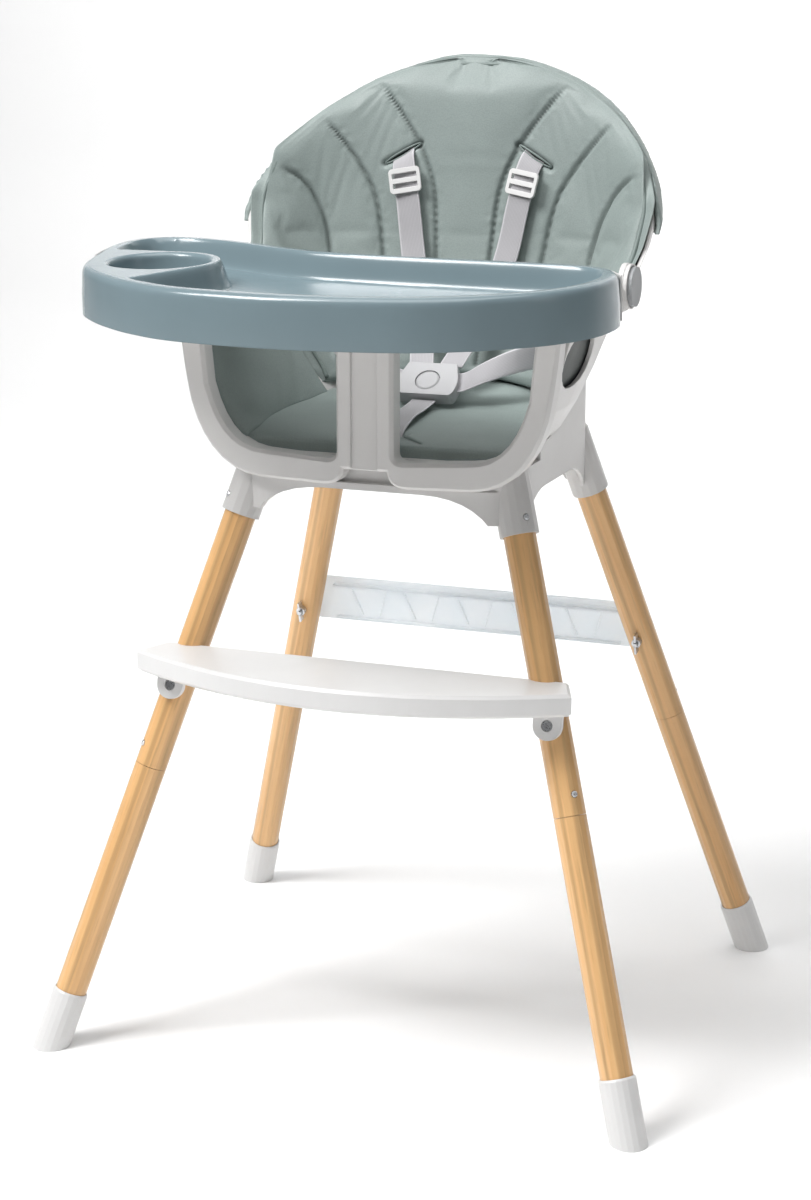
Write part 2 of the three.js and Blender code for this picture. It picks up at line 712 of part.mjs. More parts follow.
function backCushion() {
  const layer = cut(bucket(CUSHION_INSET), bucket(CUSHION_INSET + BACK_PAD));
  const rise = [[45, padTop(45) + 1], [260, padTop(260) + 1]];
  const profile = outline([...rise, [260, 960], ...backEdge(6).reverse(), [45, 711]]);
  return common(layer, sideSlab(profile, -250, 250), arch(2));
}

function backPocket() {
  const outer = common(bucket(-7), arch(1));
  const shellSpace = common(bucket(-0.8), arch(8.2));
  const profile = outline([[69, 775], [260, 775], [260, 960], ...backEdge(-2).slice(2).reverse()]);
  return common(cut(outer, shellSpace, bucket(CUSHION_INSET - 0.5)), sideSlab(profile, -250, 250));
}

function shoulderStrap(side) {
  const path = [
    [67, 130, 842],
    [62, 125.3, 816],
    [57, 120.6, 790],
    [50, 113.5, 750],
    [38, 98, 702],
    [22, 66, 662],
    [17, 51, 648],
  ];
  return ribbon(path.map(([x, y, z]) => [side * x, y - 1, z]), [1, side * STRAP_TURN, 0], 16);
}

/** The adjuster's frame: Z up the strap, X across it. */
function adjusterFrame(side) {
  const along = new THREE.Vector3(side * 5, 4.7, 26);
  return frameAt(new THREE.Vector3(side * 62, 124.3, 816), along, new THREE.Vector3(1, side * STRAP_TURN, 0));
}

function strapAdjuster() {
  const plate = slab(roundedPlan(16, -12.5, 12.5, 4), 0, 3, { curveSegments: 4 });
  const windows = [-1, 1].map((end) => box([-12.5, end * 5 - 2.5, -1], [12.5, end * 5 + 2.5, 4]));
  return cut(plate, ...windows).rotateX(Math.PI / 2).translate(0, -WEBBING_THICKNESS / 2 - 0.6, 0);
}

function waistStrap(side) {
  const path = [[34, 30, 630], [54, 25, 641], [78, 33, 648], [96, 46, 645]];
  return ribbon(path.map(([x, y, z]) => [side * x, y, z]), [0, 0.25, 1], 10);
}

function crotchStrap() {
  return ribbon([[0, -80, 583], [0, -78, 599], [0, -50, 607], [0, -22, 610], [0, 2, 613]], [1, 0, 0], 14);
}

function buckleBody() {
  const plan = new THREE.Shape();
  plan.moveTo(-26, -20);
  plan.lineTo(26, -20);
  plan.quadraticCurveTo(32, -18, 31, 0);
  plan.lineTo(25, 20);
  plan.lineTo(-25, 20);
  plan.lineTo(-31, 0);
  plan.quadraticCurveTo(-32, -18, -26, -20);
  const body = slab(plan, -7, 7, { curveSegments: 5 });
  const well = rod(12.5, -2, 10, 20).translate(0, -2, 0);
  return cut(body, well);
}

function buckleButton() {
  return join(rod(12, 1.5, 6, 20), rod(12, 5.9, 7.2, 20, 10)).translate(0, -2, 0);
}

function harness() {
  const group = new THREE.Group();
  for (const [side, name] of [[-1, "left"], [1, "right"]]) {
    group.add(
      piece(`shoulder_strap_${name}`, shoulderStrap(side), webbing),
      piece(`waist_strap_${name}`, waistStrap(side), webbing),
      groupAt(adjusterFrame(side), piece(`strap_adjuster_${name}`, strapAdjuster(), capPlastic)),
    );
  }
  const buckleFrame = new THREE.Matrix4().makeRotationX(BUCKLE_TILT).setPosition(0, 27, 629);
  group.add(
    piece("crotch_strap", crotchStrap(), webbing),
    groupAt(
      buckleFrame,
      piece("buckle_body", buckleBody(), capPlastic),
      piece("buckle_button", buckleButton(), capPlastic),
    ),
  );
  return group;
}

// ---------------------------------------------------------------- footrest

function footrestPlan() {
  const shape = new THREE.Shape();
  shape.moveTo(-FOOTREST_HALF + 14, FOOTREST_REAR_Y);
  shape.lineTo(-FOOTREST_HALF, FOOTREST_END_Y);
  shape.quadraticCurveTo(0, 2 * FOOTREST_FRONT_Y - FOOTREST_END_Y, FOOTREST_HALF, FOOTREST_END_Y);
  shape.lineTo(FOOTREST_HALF - 14, FOOTREST_REAR_Y);
  return shape;
}

/** The front face's frame on a front leg: Z out from the leg's axis, X level, at a height. */
function frontFaceFrame(corner, height) {
  const axis = new THREE.Vector3(-corner.x * SPLAY_X, -corner.y * SPLAY_Y, 1);
  const origin = new THREE.Vector3(corner.x * FOOT_X, corner.y * FOOT_Y, 0).addScaledVector(axis, height);
  return frameAt(origin, new THREE.Vector3(0, corner.y, SPLAY_Y), new THREE.Vector3(corner.y < 0 ? 1 : -1, 0, 0));
}

const FRONT_CORNERS = CORNERS.filter((corner) => corner.y < 0);

/** A tab down the front of the leg, round at the bottom, with the screw's hole. */
function footrestLug(corner) {
  const shape = new THREE.Shape();
  shape.moveTo(13.5, 30);
  shape.lineTo(-13.5, 30);
  shape.lineTo(-13.5, 0);
  shape.absarc(0, 0, 13.5, Math.PI, 2 * Math.PI);
  const tab = slab(shape, LEG_RADIUS + GAP, LEG_RADIUS + 6.5);
  return tab.applyMatrix4(frontFaceFrame(corner, FOOTREST_SCREW_Z));
}

function screwSpace(corner) {
  const hole = rod(2.9, 0, 30, 8);
  const seat = rod(5.4, LEG_RADIUS + 3.5, 40, 14);
  return join(hole, seat).applyMatrix4(frontFaceFrame(corner, FOOTREST_SCREW_Z));
}

function footrest() {
  const bottom = FOOTREST_TOP_Z - FOOTREST_THICKNESS;
  const bevel = { bevelEnabled: true, bevelThickness: 3, bevelSize: 3, bevelOffset: -3, bevelSegments: 1 };
  const plate = slab(footrestPlan(), bottom + 3, FOOTREST_TOP_Z - 3, { curveSegments: 16, ...bevel });
  const lugCeiling = box([-300, -400, FOOTREST_TOP_Z - 4], [300, 0, FOOTREST_TOP_Z + 80]);
  const lugs = FRONT_CORNERS.map((corner) => cut(footrestLug(corner), lugCeiling));
  const legs = alongLegs(() => rod(LEG_RADIUS + GAP, 0, upLeg(560), LEG_SEGMENTS), FRONT_CORNERS);
  return cut(join(plate, ...lugs), ...legs, ...FRONT_CORNERS.map(screwSpace));
}

function footrestScrew() {
  const head = rod(4.8, LEG_RADIUS + 3.8, LEG_RADIUS + 6.2, 14);
  const shank = rod(2.4, -2, LEG_RADIUS + 4, 8);
  const slot = box([-0.8, -3, LEG_RADIUS + 5.2], [0.8, 3, LEG_RADIUS + 8]);
  return cut(join(head, shank), slot);
}

// ---------------------------------------------------------------- rear brace

/** The brace's frame leans with the rear legs: Y points out behind them, Z runs up between them. */
function braceFrame() {
  const y = FOOT_Y - SPLAY_Y * BRACE_Z;
  return new THREE.Matrix4().makeRotationX(Math.atan(SPLAY_Y)).setPosition(0, y, BRACE_Z);
}

const BRACE_NEAR_Y = LEG_RADIUS + 1;
const BRACE_BOLT_X = FOOT_X - SPLAY_X * BRACE_Z;

/** The brace's face: a bar whose ends are cut along the legs. */
function bracePlan() {
  const top = BRACE_HEIGHT / 2;
  const lean = SPLAY_X * top;
  const half = BRACE_HALF;
  return outline([[-half - lean, -top], [half + lean, -top], [half - lean, top], [lean - half, top]]);
}

function braceRibs() {
  const reach = BRACE_HEIGHT / 2 - 7;
  const pitch = 30;
  const ribs = [];
  for (let i = -5; i < 5; i += 1) {
    const middle = (i + 0.5) * pitch;
    const lean = (i % 2 === 0 ? 1 : -1) * 0.32;
    const rib = box([-1.1, -2.2, -reach], [1.1, 1, reach]).rotateY(lean);
    ribs.push(rib.translate(middle, BRACE_NEAR_Y, 0));
  }
  return ribs;
}

function rearBrace() {
  const face = frontSlab(bracePlan(), BRACE_NEAR_Y, BRACE_WEB);
  const inner = BRACE_BOLT_X - LEG_RADIUS - 12;
  const top = BRACE_HEIGHT / 2;
  const rails = [
    box([-inner, BRACE_NEAR_Y - 7, top - 9], [inner, BRACE_NEAR_Y + 1, top - 6.6]),
    box([-inner, BRACE_NEAR_Y - 3, 2.4 - top], [inner, BRACE_NEAR_Y + 1, 4.4 - top]),
  ];
  const ribs = braceRibs();
  const holes = [-1, 1].map((side) => rod(2.9, -40, 40, 12).rotateX(Math.PI / 2).translate(side * BRACE_BOLT_X, 0, 0));
  return cut(join(face, ...rails, ...ribs), ...holes);
}

/** A bolt through the leg from behind, in the brace's frame about the bolt's own axis. */
function braceBolt() {
  const outside = BRACE_NEAR_Y + BRACE_WEB + GAP;
  const head = rod(5.5, outside, outside + 3, 6);
  const shank = rod(2.4, -26, outside + 1, 8);
  return join(head, shank).rotateX(-Math.PI / 2);
}

function wingNut() {
  const hub = rod(4.8, LEG_RADIUS + GAP, LEG_RADIUS + 6.5, 14);
  const wings = [-1, 1].map((side) =>
    box([-1.1, 3, LEG_RADIUS + 1.5], [1.1, 10.5, LEG_RADIUS + 10]).rotateZ(side > 0 ? 0 : Math.PI),
  );
  const thread = rod(2.8, 0, 40, 8);
  return cut(join(hub, ...wings), thread).rotateX(Math.PI / 2);
}

function brace() {
  const group = groupAt(braceFrame(), piece("rear_brace", rearBrace(), frostedPlastic));
  for (const [side, name] of [[-1, "left"], [1, "right"]]) {
    const bolt = new THREE.Group();
    bolt.position.x = side * BRACE_BOLT_X;
    bolt.add(piece(`brace_bolt_${name}`, braceBolt(), steel), piece(`wing_nut_${name}`, wingNut(), steel));
    group.add(bolt);
  }
  return group;
}

// ---------------------------------------------------------------- the chair

const group = new THREE.Group();
group.add(
  piece("seat_shell", seatShell(), whitePlastic),
  piece("front_guard", frontGuard(), whitePlastic),
  piece("seat_base", seatBase(), whitePlastic),
  tray(),
  piece("cushion_seat", seatCushion(), sageLeather),
  piece("cushion_side_left", sideCushion(-1), sageLeather),
  piece("cushion_side_right", sideCushion(1), sageLeather),
  piece("cushion_back", backCushion(), sageLeather),
  piece("back_pocket", backPocket(), sageLeather),
  harness(),
  piece("footrest", footrest(), capPlastic),
  brace(),
);
for (const corner of CORNERS) group.add(leg(corner));
for (const corner of FRONT_CORNERS) {
  const side = corner.x < 0 ? "left" : "right";
  const screw = piece(`footrest_screw_${side}`, footrestScrew(), steel);
  group.add(groupAt(frontFaceFrame(corner, FOOTREST_SCREW_Z), screw));
}

group.position.y = ORIGIN_SHIFT_Y;

export default group;
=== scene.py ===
"""The looks of a baby high chair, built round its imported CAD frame. Metres, +Z up, the chair faces -Y."""

import math

import bmesh
import bpy
import numpy as np
from mathutils import Matrix, Vector
from mathutils.kdtree import KDTree
from mathutils.noise import noise


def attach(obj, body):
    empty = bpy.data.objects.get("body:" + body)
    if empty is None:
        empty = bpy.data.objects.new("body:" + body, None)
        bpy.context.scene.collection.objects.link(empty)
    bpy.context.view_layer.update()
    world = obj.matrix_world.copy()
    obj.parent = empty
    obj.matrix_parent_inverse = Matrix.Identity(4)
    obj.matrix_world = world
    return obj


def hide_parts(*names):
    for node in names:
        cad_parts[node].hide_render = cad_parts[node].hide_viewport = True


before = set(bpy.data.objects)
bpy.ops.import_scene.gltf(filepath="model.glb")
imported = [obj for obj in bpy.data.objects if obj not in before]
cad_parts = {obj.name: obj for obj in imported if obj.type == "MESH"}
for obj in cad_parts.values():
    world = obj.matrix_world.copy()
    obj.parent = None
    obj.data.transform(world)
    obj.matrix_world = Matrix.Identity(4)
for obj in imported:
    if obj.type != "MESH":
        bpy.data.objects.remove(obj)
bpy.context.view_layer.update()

# ---------------------------------------------------------------- driving dimensions

# The CAD's own measures are taken from the point between the feet; its origin lies this far behind.
ORIGIN_SHIFT_Y = 0.04145

CAMERA_PLACE = (0.7978, -2.09418, 0.9888)
CAMERA_TARGET = (-0.0148, 0.04142, 0.4157)
CAMERA_LENS = 71.42

# Leg axes, from the floor to the seat's sockets.
FOOT = (0.292, 0.2455)
SOCKET = (0.140, 0.1135)
SOCKET_Z = 0.5167
CORNERS = {"front_left": (-1, -1), "front_right": (1, -1), "rear_left": (-1, 1), "rear_right": (1, 1)}
SIDES = {"left": -1, "right": 1}

# The tray in its own frame, as in the CAD.
TRAY_PLACE = (0.0, -0.220 + ORIGIN_SHIFT_Y, 0.762)
TRAY_TILT = math.radians(3)
TRAY_SPLIT = 0.060
TRAY_FLOOR = -0.024
TRAY_RIM = 0.015
# The tray's outline in millimetres, anticlockwise from the middle of its front.
TRAY_EDGE = (
    (0, -127), (94, -118), (150, -99), (193, -71), (221, -43), (240, -8), (246, 34),
    (239, 66), (220, 88), (184, 99), (125, 103), (60, 106), (-10, 111), (-60, 119),
    (-100, 133), (-142, 152), (-186, 167), (-226, 171), (-255, 159), (-269, 130), (-267, 90),
    (-256, 46), (-246, 8), (-232, -22), (-210, -48), (-184, -71), (-147, -96), (-94, -117),
)
CUP_PLACE = (-0.178, 0.024)
CUP_RING = 0.056
# Round posts that the cup's land is stretched over, at the rim.
LAND_CORNERS = ((-0.256, 0.066), (-0.167, -0.060))
LAND_CORNER_RADIUS = 0.012

# The bucket seat's outer face, as in the CAD: height, half-width, rear depth, widest depth, squareness.
BUCKET = np.array([
    (0.578, 0.104, 0.070, -0.070, 2.2),
    (0.591, 0.140, 0.092, -0.070, 2.2),
    (0.605, 0.154, 0.102, -0.066, 2.2),
    (0.630, 0.168, 0.114, -0.062, 2.2),
    (0.660, 0.179, 0.124, -0.054, 2.4),
    (0.690, 0.187, 0.132, -0.044, 2.7),
    (0.715, 0.194, 0.138, -0.030, 3.0),
    (0.730, 0.199, 0.141, -0.010, 3.3),
    (0.765, 0.213, 0.148, 0.000, 3.2),
    (0.800, 0.223, 0.153, 0.000, 3.1),
    (0.870, 0.228, 0.165, 0.000, 3.0),
    (0.960, 0.228, 0.183, 0.000, 3.0),
])
CUSHION_FACE_INSET = 0.022
ARCH_HALF = 0.220
ARCH_SPRING_Z = 0.750
ARCH_TOP_Z = 0.938
# The cushion's front edge seen from the side.
EDGE_Z = (0.738, 0.762, 0.800, 0.860, 0.910, 0.960)
EDGE_Y = (0.034, 0.056, 0.070, 0.090, 0.114, 0.144)

# Sewn seams of the back cushion on one side, seen from the front as (distance from the middle, height).
BACK_SEAMS = (
    ((0.107, 0.922), (0.088, 0.900), (0.067, 0.873), (0.052, 0.850), (0.040, 0.825), (0.033, 0.798),
     (0.029, 0.747), (0.026, 0.690), (0.024, 0.640)),
    ((0.160, 0.888), (0.134, 0.858), (0.113, 0.831), (0.095, 0.798), (0.085, 0.749), (0.078, 0.690),
     (0.070, 0.640)),
    ((0.196, 0.838), (0.166, 0.816), (0.148, 0.787), (0.137, 0.751), (0.128, 0.700), (0.116, 0.650)),
)
# Strap slots of the back cushion on one side: the inner and the outer end.
BACK_SLOT = ((0.052, 0.852), (0.087, 0.832))
# The seat pad's front and rear edge, the side pads' rear edge, and where its strap slot lies.
PAD_FRONT = -0.1175
PAD_REAR = 0.112
SIDE_PAD_REAR = 0.0445
SIDE_PAD_TOP = 0.7105
PAD_SLOT_Y = -0.079
# How far the cushions' outer faces stand inside the bucket's outer face.
CUSHION_REAR_INSET = 0.0058
SIDE_PAD_INSET = 0.0140

WEBBING = 0.025
WEBBING_THICKNESS = 0.0016
# How many of a shoulder strap's rows lie inside the back cushion's slot.
TUCKED_ROWS = 11
PIPING_RADIUS = 0.0024
# Half the width of the dark line in a sewn seam.
SEAM_THREAD = 0.0021

# A strap presses the cushion under it this far back.
STRAP_CLEARANCE = 0.0012
# The cloth simulation's pressure in every cushion.
CUSHION_PRESSURE = 4.0

MM = 0.001

# ---------------------------------------------------------------- camera, light and floor


def place_camera():
    camera = bpy.data.objects.new("camera", bpy.data.cameras.new("camera"))
    bpy.context.scene.collection.objects.link(camera)
    camera.location = CAMERA_PLACE
    look = Vector(CAMERA_TARGET) - Vector(CAMERA_PLACE)
    camera.rotation_euler = look.to_track_quat("-Z", "Y").to_euler()
    camera.data.lens = CAMERA_LENS
    camera.data.clip_end = 60
    bpy.context.scene.camera = camera


def softbox(name, place, target, size, power, colour=(1, 1, 1)):
    light = bpy.data.lights.new(name, "AREA")
    light.shape = "RECTANGLE"
    light.size, light.size_y = size
    light.energy = power
    light.color = colour
    box = bpy.data.objects.new(name, light)
    box.location = place
    box.rotation_euler = (Vector(target) - Vector(place)).to_track_quat("-Z", "Y").to_euler()
    bpy.context.scene.collection.objects.link(box)


def light_studio():
    softbox("key_light", (-1.7, -1.8, 3.3), (0, 0, 0.6), (1.5, 1.5), 128)
    softbox("top_light", (0.0, -0.6, 3.4), (0, 0.0, 0.5), (2.6, 2.6), 66)
    softbox("right_light", (2.6, -0.8, 1.6), (0, 0, 0.6), (1.0, 1.8), 3)
    softbox("backdrop_light", (0.0, 1.4, 2.9), (0, 3.5, 1.5), (4.0, 0.5), 60)
    world = bpy.data.worlds.new("studio")
    world.use_nodes = True
    background = world.node_tree.nodes["Background"]
    background.inputs["Color"].default_value = (1, 1, 1, 1)
    background.inputs["Strength"].default_value = 0.12
    bpy.context.scene.world = world
    bpy.context.scene.view_settings.view_transform = "Standard"


# ---------------------------------------------------------------- material helpers


class Shader:
    """A procedural material: its Principled shader and short ways to add nodes to it."""

    def __init__(self, name, colour, roughness, **sockets):
        self.material = bpy.data.materials.new(name)
        self.material.use_nodes = True
        self.tree = self.material.node_tree
        self.surface = self.tree.nodes["Principled BSDF"]
        self.surface.inputs["Base Color"].default_value = (*colour, 1)
        self.surface.inputs["Roughness"].default_value = roughness
        for socket, value in sockets.items():
            self.surface.inputs[socket.replace("_", " ")].default_value = value
        self.place = self.add("ShaderNodeTexCoord").outputs["Object"]

    def add(self, kind, inputs=None, **settings):
        node = self.tree.nodes.new(kind)
        for key, value in settings.items():
            setattr(node, key, value)
        for key, value in (inputs or {}).items():
            if isinstance(value, bpy.types.NodeSocket):
                self.tree.links.new(value, node.inputs[key])
            else:
                node.inputs[key].default_value = value
        return node

    def noise(self, scale, detail=3, roughness=0.55, place=None, distortion=0.0):
        inputs = {
            "Vector": place or self.place,
            "Scale": scale,
            "Detail": detail,
            "Roughness": roughness,
            "Distortion": distortion,
        }
        return self.add("ShaderNodeTexNoise", inputs).outputs["Fac"]

    def mix(self, factor, first, second, blend="MIX"):
        inputs = {0: factor, 6: first, 7: second}
        return self.add("ShaderNodeMix", inputs, data_type="RGBA", blend_type=blend).outputs[2]

    def math(self, operation, a, b=0.5):
        return self.add("ShaderNodeMath", {0: a, 1: b}, operation=operation).outputs[0]

    def ramp(self, factor, *stops):
        node = self.add("ShaderNodeValToRGB", {"Fac": factor})
        elements = node.color_ramp.elements
        while len(elements) < len(stops):
            elements.new(0.5)
        for element, (position, colour) in zip(elements, stops):
            element.position = position
            element.color = (*colour, 1) if isinstance(colour, tuple) else (colour, colour, colour, 1)
        return node.outputs["Color"]

    def between(self, factor, low, high):
        """A value that runs from low to high with a factor from 0 to 1."""
        inputs = {"Value": factor, "To Min": low, "To Max": high}
        return self.add("ShaderNodeMapRange", inputs).outputs["Result"]

    def bump(self, height, strength, distance, normal=None):
        inputs = {"Height": height, "Strength": strength, "Distance": distance}
        if normal:
            inputs["Normal"] = normal
        return self.add("ShaderNodeBump", inputs).outputs["Normal"]

    def rounded(self, radius):
        return self.add("ShaderNodeBevel", {"Radius": radius}, samples=4).outputs["Normal"]

    def set(self, socket, value):
        self.tree.links.new(value, self.surface.inputs[socket])


def tint(colour, share):
    return tuple(min(1.0, channel * share) for channel in colour)


def plastic(name, colour, roughness, grain=0.12, edge=1.2 * MM, **sockets):
    """Moulded plastic: faint mottling, a fine mould texture and softly rounded edges."""
    shader = Shader(name, colour, roughness, **sockets)
    mottle = shader.noise(9, 4)
    shader.set("Base Color", shader.ramp(mottle, (0.3, tint(colour, 0.97)), (0.7, tint(colour, 1.03))))
    smudge = shader.noise(26, 5, 0.6)
    shader.set("Roughness", shader.between(smudge, roughness - 0.05, roughness + 0.06))
    texture = shader.noise(1400, 2)
    waviness = shader.noise(18, 2)
    normal = shader.bump(waviness, 0.10, 1.5 * MM, shader.rounded(edge))
    shader.set("Normal", shader.bump(texture, grain, 0.08 * MM, normal))
    return shader.material


def leather(name, colour):
    """Soft coated leather: pebbled grain, fine creases, uneven tone and a satin sheen.

    A piece's own "shade" attribute darkens its seams, and paints shade on the side cushions' outward faces.
    """
    shader = Shader(name, colour, 0.5, Sheen_Weight=0.12, Sheen_Roughness=0.4, Specular_IOR_Level=0.42)
    tone = shader.noise(7, 5, 0.6)
    broad = shader.ramp(tone, (0.28, tint(colour, 0.93)), (0.72, tint(colour, 1.06)))
    pebble = shader.add("ShaderNodeTexVoronoi", {"Vector": shader.place, "Scale": 760.0, "Randomness": 1.0})
    cell = pebble.outputs["Distance"]
    pores = shader.ramp(cell, (0.0, 1.03), (0.75, 0.90))
    grained = shader.mix(1.0, broad, pores, "MULTIPLY")
    shade = shader.add("ShaderNodeAttribute", attribute_name="shade").outputs["Fac"]
    # The colour the "shade" attribute multiplies in: for dark seams, and for painted shade on outward faces.
    dark = (0.10, 0.12, 0.11, 1)
    shader.set("Base Color", shader.mix(shade, grained, dark, "MULTIPLY"))
    wear = shader.noise(30, 6, 0.65)
    shader.set("Roughness", shader.between(wear, 0.40, 0.58))
    crease = shader.noise(70, 5, 0.7, distortion=0.6)
    normal = shader.bump(crease, 0.22, 0.7 * MM)
    shader.set("Normal", shader.bump(cell, 0.35, 0.18 * MM, normal))
    return shader.material


def webbing_fabric(name, colour):
    """Woven harness webbing, from the strap's own length and width in metres."""
    shader = Shader(name, colour, 0.72, Sheen_Weight=0.3, Sheen_Roughness=0.5)
    uv = shader.add("ShaderNodeTexCoord").outputs["UV"]
    parts = shader.add("ShaderNodeSeparateXYZ", {"Vector": uv})
    along, across = parts.outputs["X"], parts.outputs["Y"]
    rib_pitch, pick_pitch, selvedge = 1.5 * MM, 1.1 * MM, 10.8 * MM
    ribs = shader.math("SINE", shader.math("MULTIPLY", across, 2 * math.pi / rib_pitch))
    picks = shader.math("SINE", shader.math("MULTIPLY", along, 2 * math.pi / pick_pitch))
    weave = shader.math("MULTIPLY", shader.math("MULTIPLY", ribs, picks), 0.5)
    level = shader.between(shader.math("ADD", weave, shader.math("MULTIPLY", ribs, 0.5)), 0, 1)
    edge = shader.math("GREATER_THAN", shader.math("ABSOLUTE", across, 0), selvedge)
    # Painted shade and highlight: the weave's low places are darker and its high places lighter, following
    # its relief.
    shade = shader.ramp(level, (0.0, tint(colour, 0.80)), (1.0, tint(colour, 1.08)))
    shader.set("Base Color", shader.mix(edge, shade, (*tint(colour, 1.16), 1)))
    fuzz = shader.noise(900, 2)
    normal = shader.bump(level, 0.5, 0.25 * MM)
    shader.set("Normal", shader.bump(fuzz, 0.15, 0.1 * MM, normal))
    return shader.material


def beech(name, along):
    """Clear-lacquered beech with its grain running along one direction."""
    light, mid, dark = (0.80, 0.49, 0.225), (0.67, 0.375, 0.150), (0.44, 0.215, 0.07)
    shader = Shader(name, mid, 0.34, Coat_Weight=0.35, Coat_Roughness=0.22)
    turn = Vector((0, 0, 1)).rotation_difference(Vector(along)).inverted().to_euler()
    straight = shader.add("ShaderNodeMapping", {"Vector": shader.place, "Rotation": turn})
    stretch = {"Vector": straight.outputs["Vector"], "Scale": (1, 1, 0.045)}
    place = shader.add("ShaderNodeMapping", stretch).outputs["Vector"]
    broad = shader.noise(38, 4, 0.55, place, distortion=0.7)
    fine = shader.noise(320, 4, 0.6, place)
    rings = shader.add(
        "ShaderNodeTexWave",
        {"Vector": place, "Scale": 22.0, "Distortion": 5.0, "Detail": 3.0, "Detail Scale": 1.4},
        wave_type="BANDS",
        bands_direction="X",
    ).outputs["Fac"]
    base = shader.ramp(broad, (0.25, mid), (0.55, light), (0.85, mid))
    streak = shader.ramp(rings, (0.0, 0.78), (0.35, 1.0), (1.0, 1.05))
    pores = shader.ramp(fine, (0.30, 0.80), (0.46, 1.0))
    figured = shader.mix(0.8, shader.mix(1.0, base, streak, "MULTIPLY"), pores, "MULTIPLY")
    flecks = shader.add("ShaderNodeTexVoronoi", {"Vector": place, "Scale": 260.0}).outputs["Distance"]
    fleck = shader.ramp(flecks, (0.05, dark), (0.16, (1.0, 1.0, 1.0)))
    shader.set("Base Color", shader.mix(0.16, figured, fleck, "MULTIPLY"))
    shader.set("Roughness", shader.between(fine, 0.28, 0.44))
    normal = shader.bump(fine, 0.10, 0.15 * MM, shader.rounded(0.8 * MM))
    shader.set("Normal", normal)
    return shader.material


def steel(name):
    """Zinc-plated steel with fine brushing."""
    shader = Shader(name, (0.62, 0.63, 0.65), 0.28, Metallic=1.0)
    brush = shader.noise(900, 3)
    patches = shader.ramp(shader.noise(60, 4), (0.3, (0.50, 0.51, 0.53)), (0.7, (0.72, 0.73, 0.75)))
    shader.set("Base Color", patches)
    shader.set("Roughness", shader.between(brush, 0.2, 0.38))
    shader.set("Normal", shader.bump(brush, 0.1, 0.05 * MM, shader.rounded(0.4 * MM)))
    return shader.material


def frosted(name):
    """Translucent frosted plastic."""
    shader = Shader(name, (0.88, 0.94, 0.98), 0.3, Transmission_Weight=0.35, IOR=1.3, Alpha=0.72)
    cloud = shader.noise(30, 4)
    shader.set("Base Color", shader.ramp(cloud, (0.3, (0.84, 0.91, 0.96)), (0.7, (0.92, 0.96, 0.99))))
    shader.set("Roughness", shader.between(shader.noise(300, 3), 0.24, 0.42))
    shader.set("Normal", shader.bump(shader.noise(900, 2), 0.15, 0.08 * MM, shader.rounded(0.6 * MM)))
    return shader.material


def floor_paint():
    shader = Shader("floor_paint", (0.94, 0.94, 0.94), 0.7)
    shader.set("Base Color", shader.ramp(shader.noise(2, 2), (0.3, 0.935), (0.7, 0.945)))
    return shader.material


# ---------------------------------------------------------------- mesh helpers


def new_object(name, mesh, material, body=None):
    piece = bpy.data.objects.new(name, mesh)
    bpy.context.scene.collection.objects.link(piece)
    mesh.materials.clear()
    mesh.materials.append(material)
    if body:
        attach(piece, body)
    return piece


def mesh_from(name, points, faces, smooth=True):
    mesh = bpy.data.meshes.new(name)
    mesh.from_pydata([tuple(p) for p in points], [], faces)
    tidy = bmesh.new()
    tidy.from_mesh(mesh)
    bmesh.ops.recalc_face_normals(tidy, faces=tidy.faces)
    tidy.to_mesh(mesh)
    tidy.free()
    if smooth:
        mesh.shade_smooth()
    return mesh


def points_of(mesh):
    co = np.empty(len(mesh.vertices) * 3)
    mesh.vertices.foreach_get("co", co)
    return co.reshape(-1, 3)


def normals_of(mesh):
    values = np.empty(len(mesh.vertices) * 3)
    mesh.vertices.foreach_get("normal", values)
    return values.reshape(-1, 3)


def set_points(mesh, co):
    mesh.vertices.foreach_set("co", np.ascontiguousarray(co, np.float32).ravel())
    mesh.update()


def baked(piece):
    """Replaces a piece's mesh with what its modifiers make of it."""
    graph = bpy.context.evaluated_depsgraph_get()
    graph.update()
    mesh = bpy.data.meshes.new_from_object(piece.evaluated_get(graph))
    piece.modifiers.clear()
    piece.data = mesh
    return mesh


def smooth_shaded(mesh, angle=38):
    mesh.shade_smooth()
    mesh.set_sharp_from_angle(angle=math.radians(angle))


def tube(name, path, radius, sides=8, closed=False):
    """A round tube along a path."""
    path = np.asarray(path, float)
    count = len(path)
    tangents = np.gradient(path, axis=0)
    if closed:
        tangents = np.roll(path, -1, 0) - np.roll(path, 1, 0)
    tangents /= np.linalg.norm(tangents, axis=1)[:, None]
    side = np.cross(tangents[0], (0.3, 0.2, 0.9))
    points, faces = [], []
    for centre, tangent in zip(path, tangents):
        side = side - tangent * side.dot(tangent)
        side /= np.linalg.norm(side)
        up = np.cross(tangent, side)
        for k in range(sides):
            angle = 2 * math.pi * k / sides
            points.append(centre + radius * (side * math.cos(angle) + up * math.sin(angle)))
    for i in range(count if closed else count - 1):
        for k in range(sides):
            a, b = i * sides + k, i * sides + (k + 1) % sides
            j = (i + 1) % count * sides
            faces.append((a, b, j + (k + 1) % sides, j + k))
    if not closed:
        faces += [tuple(range(sides)), tuple(range((count - 1) * sides, count * sides))]
    return mesh_from(name, points, faces)


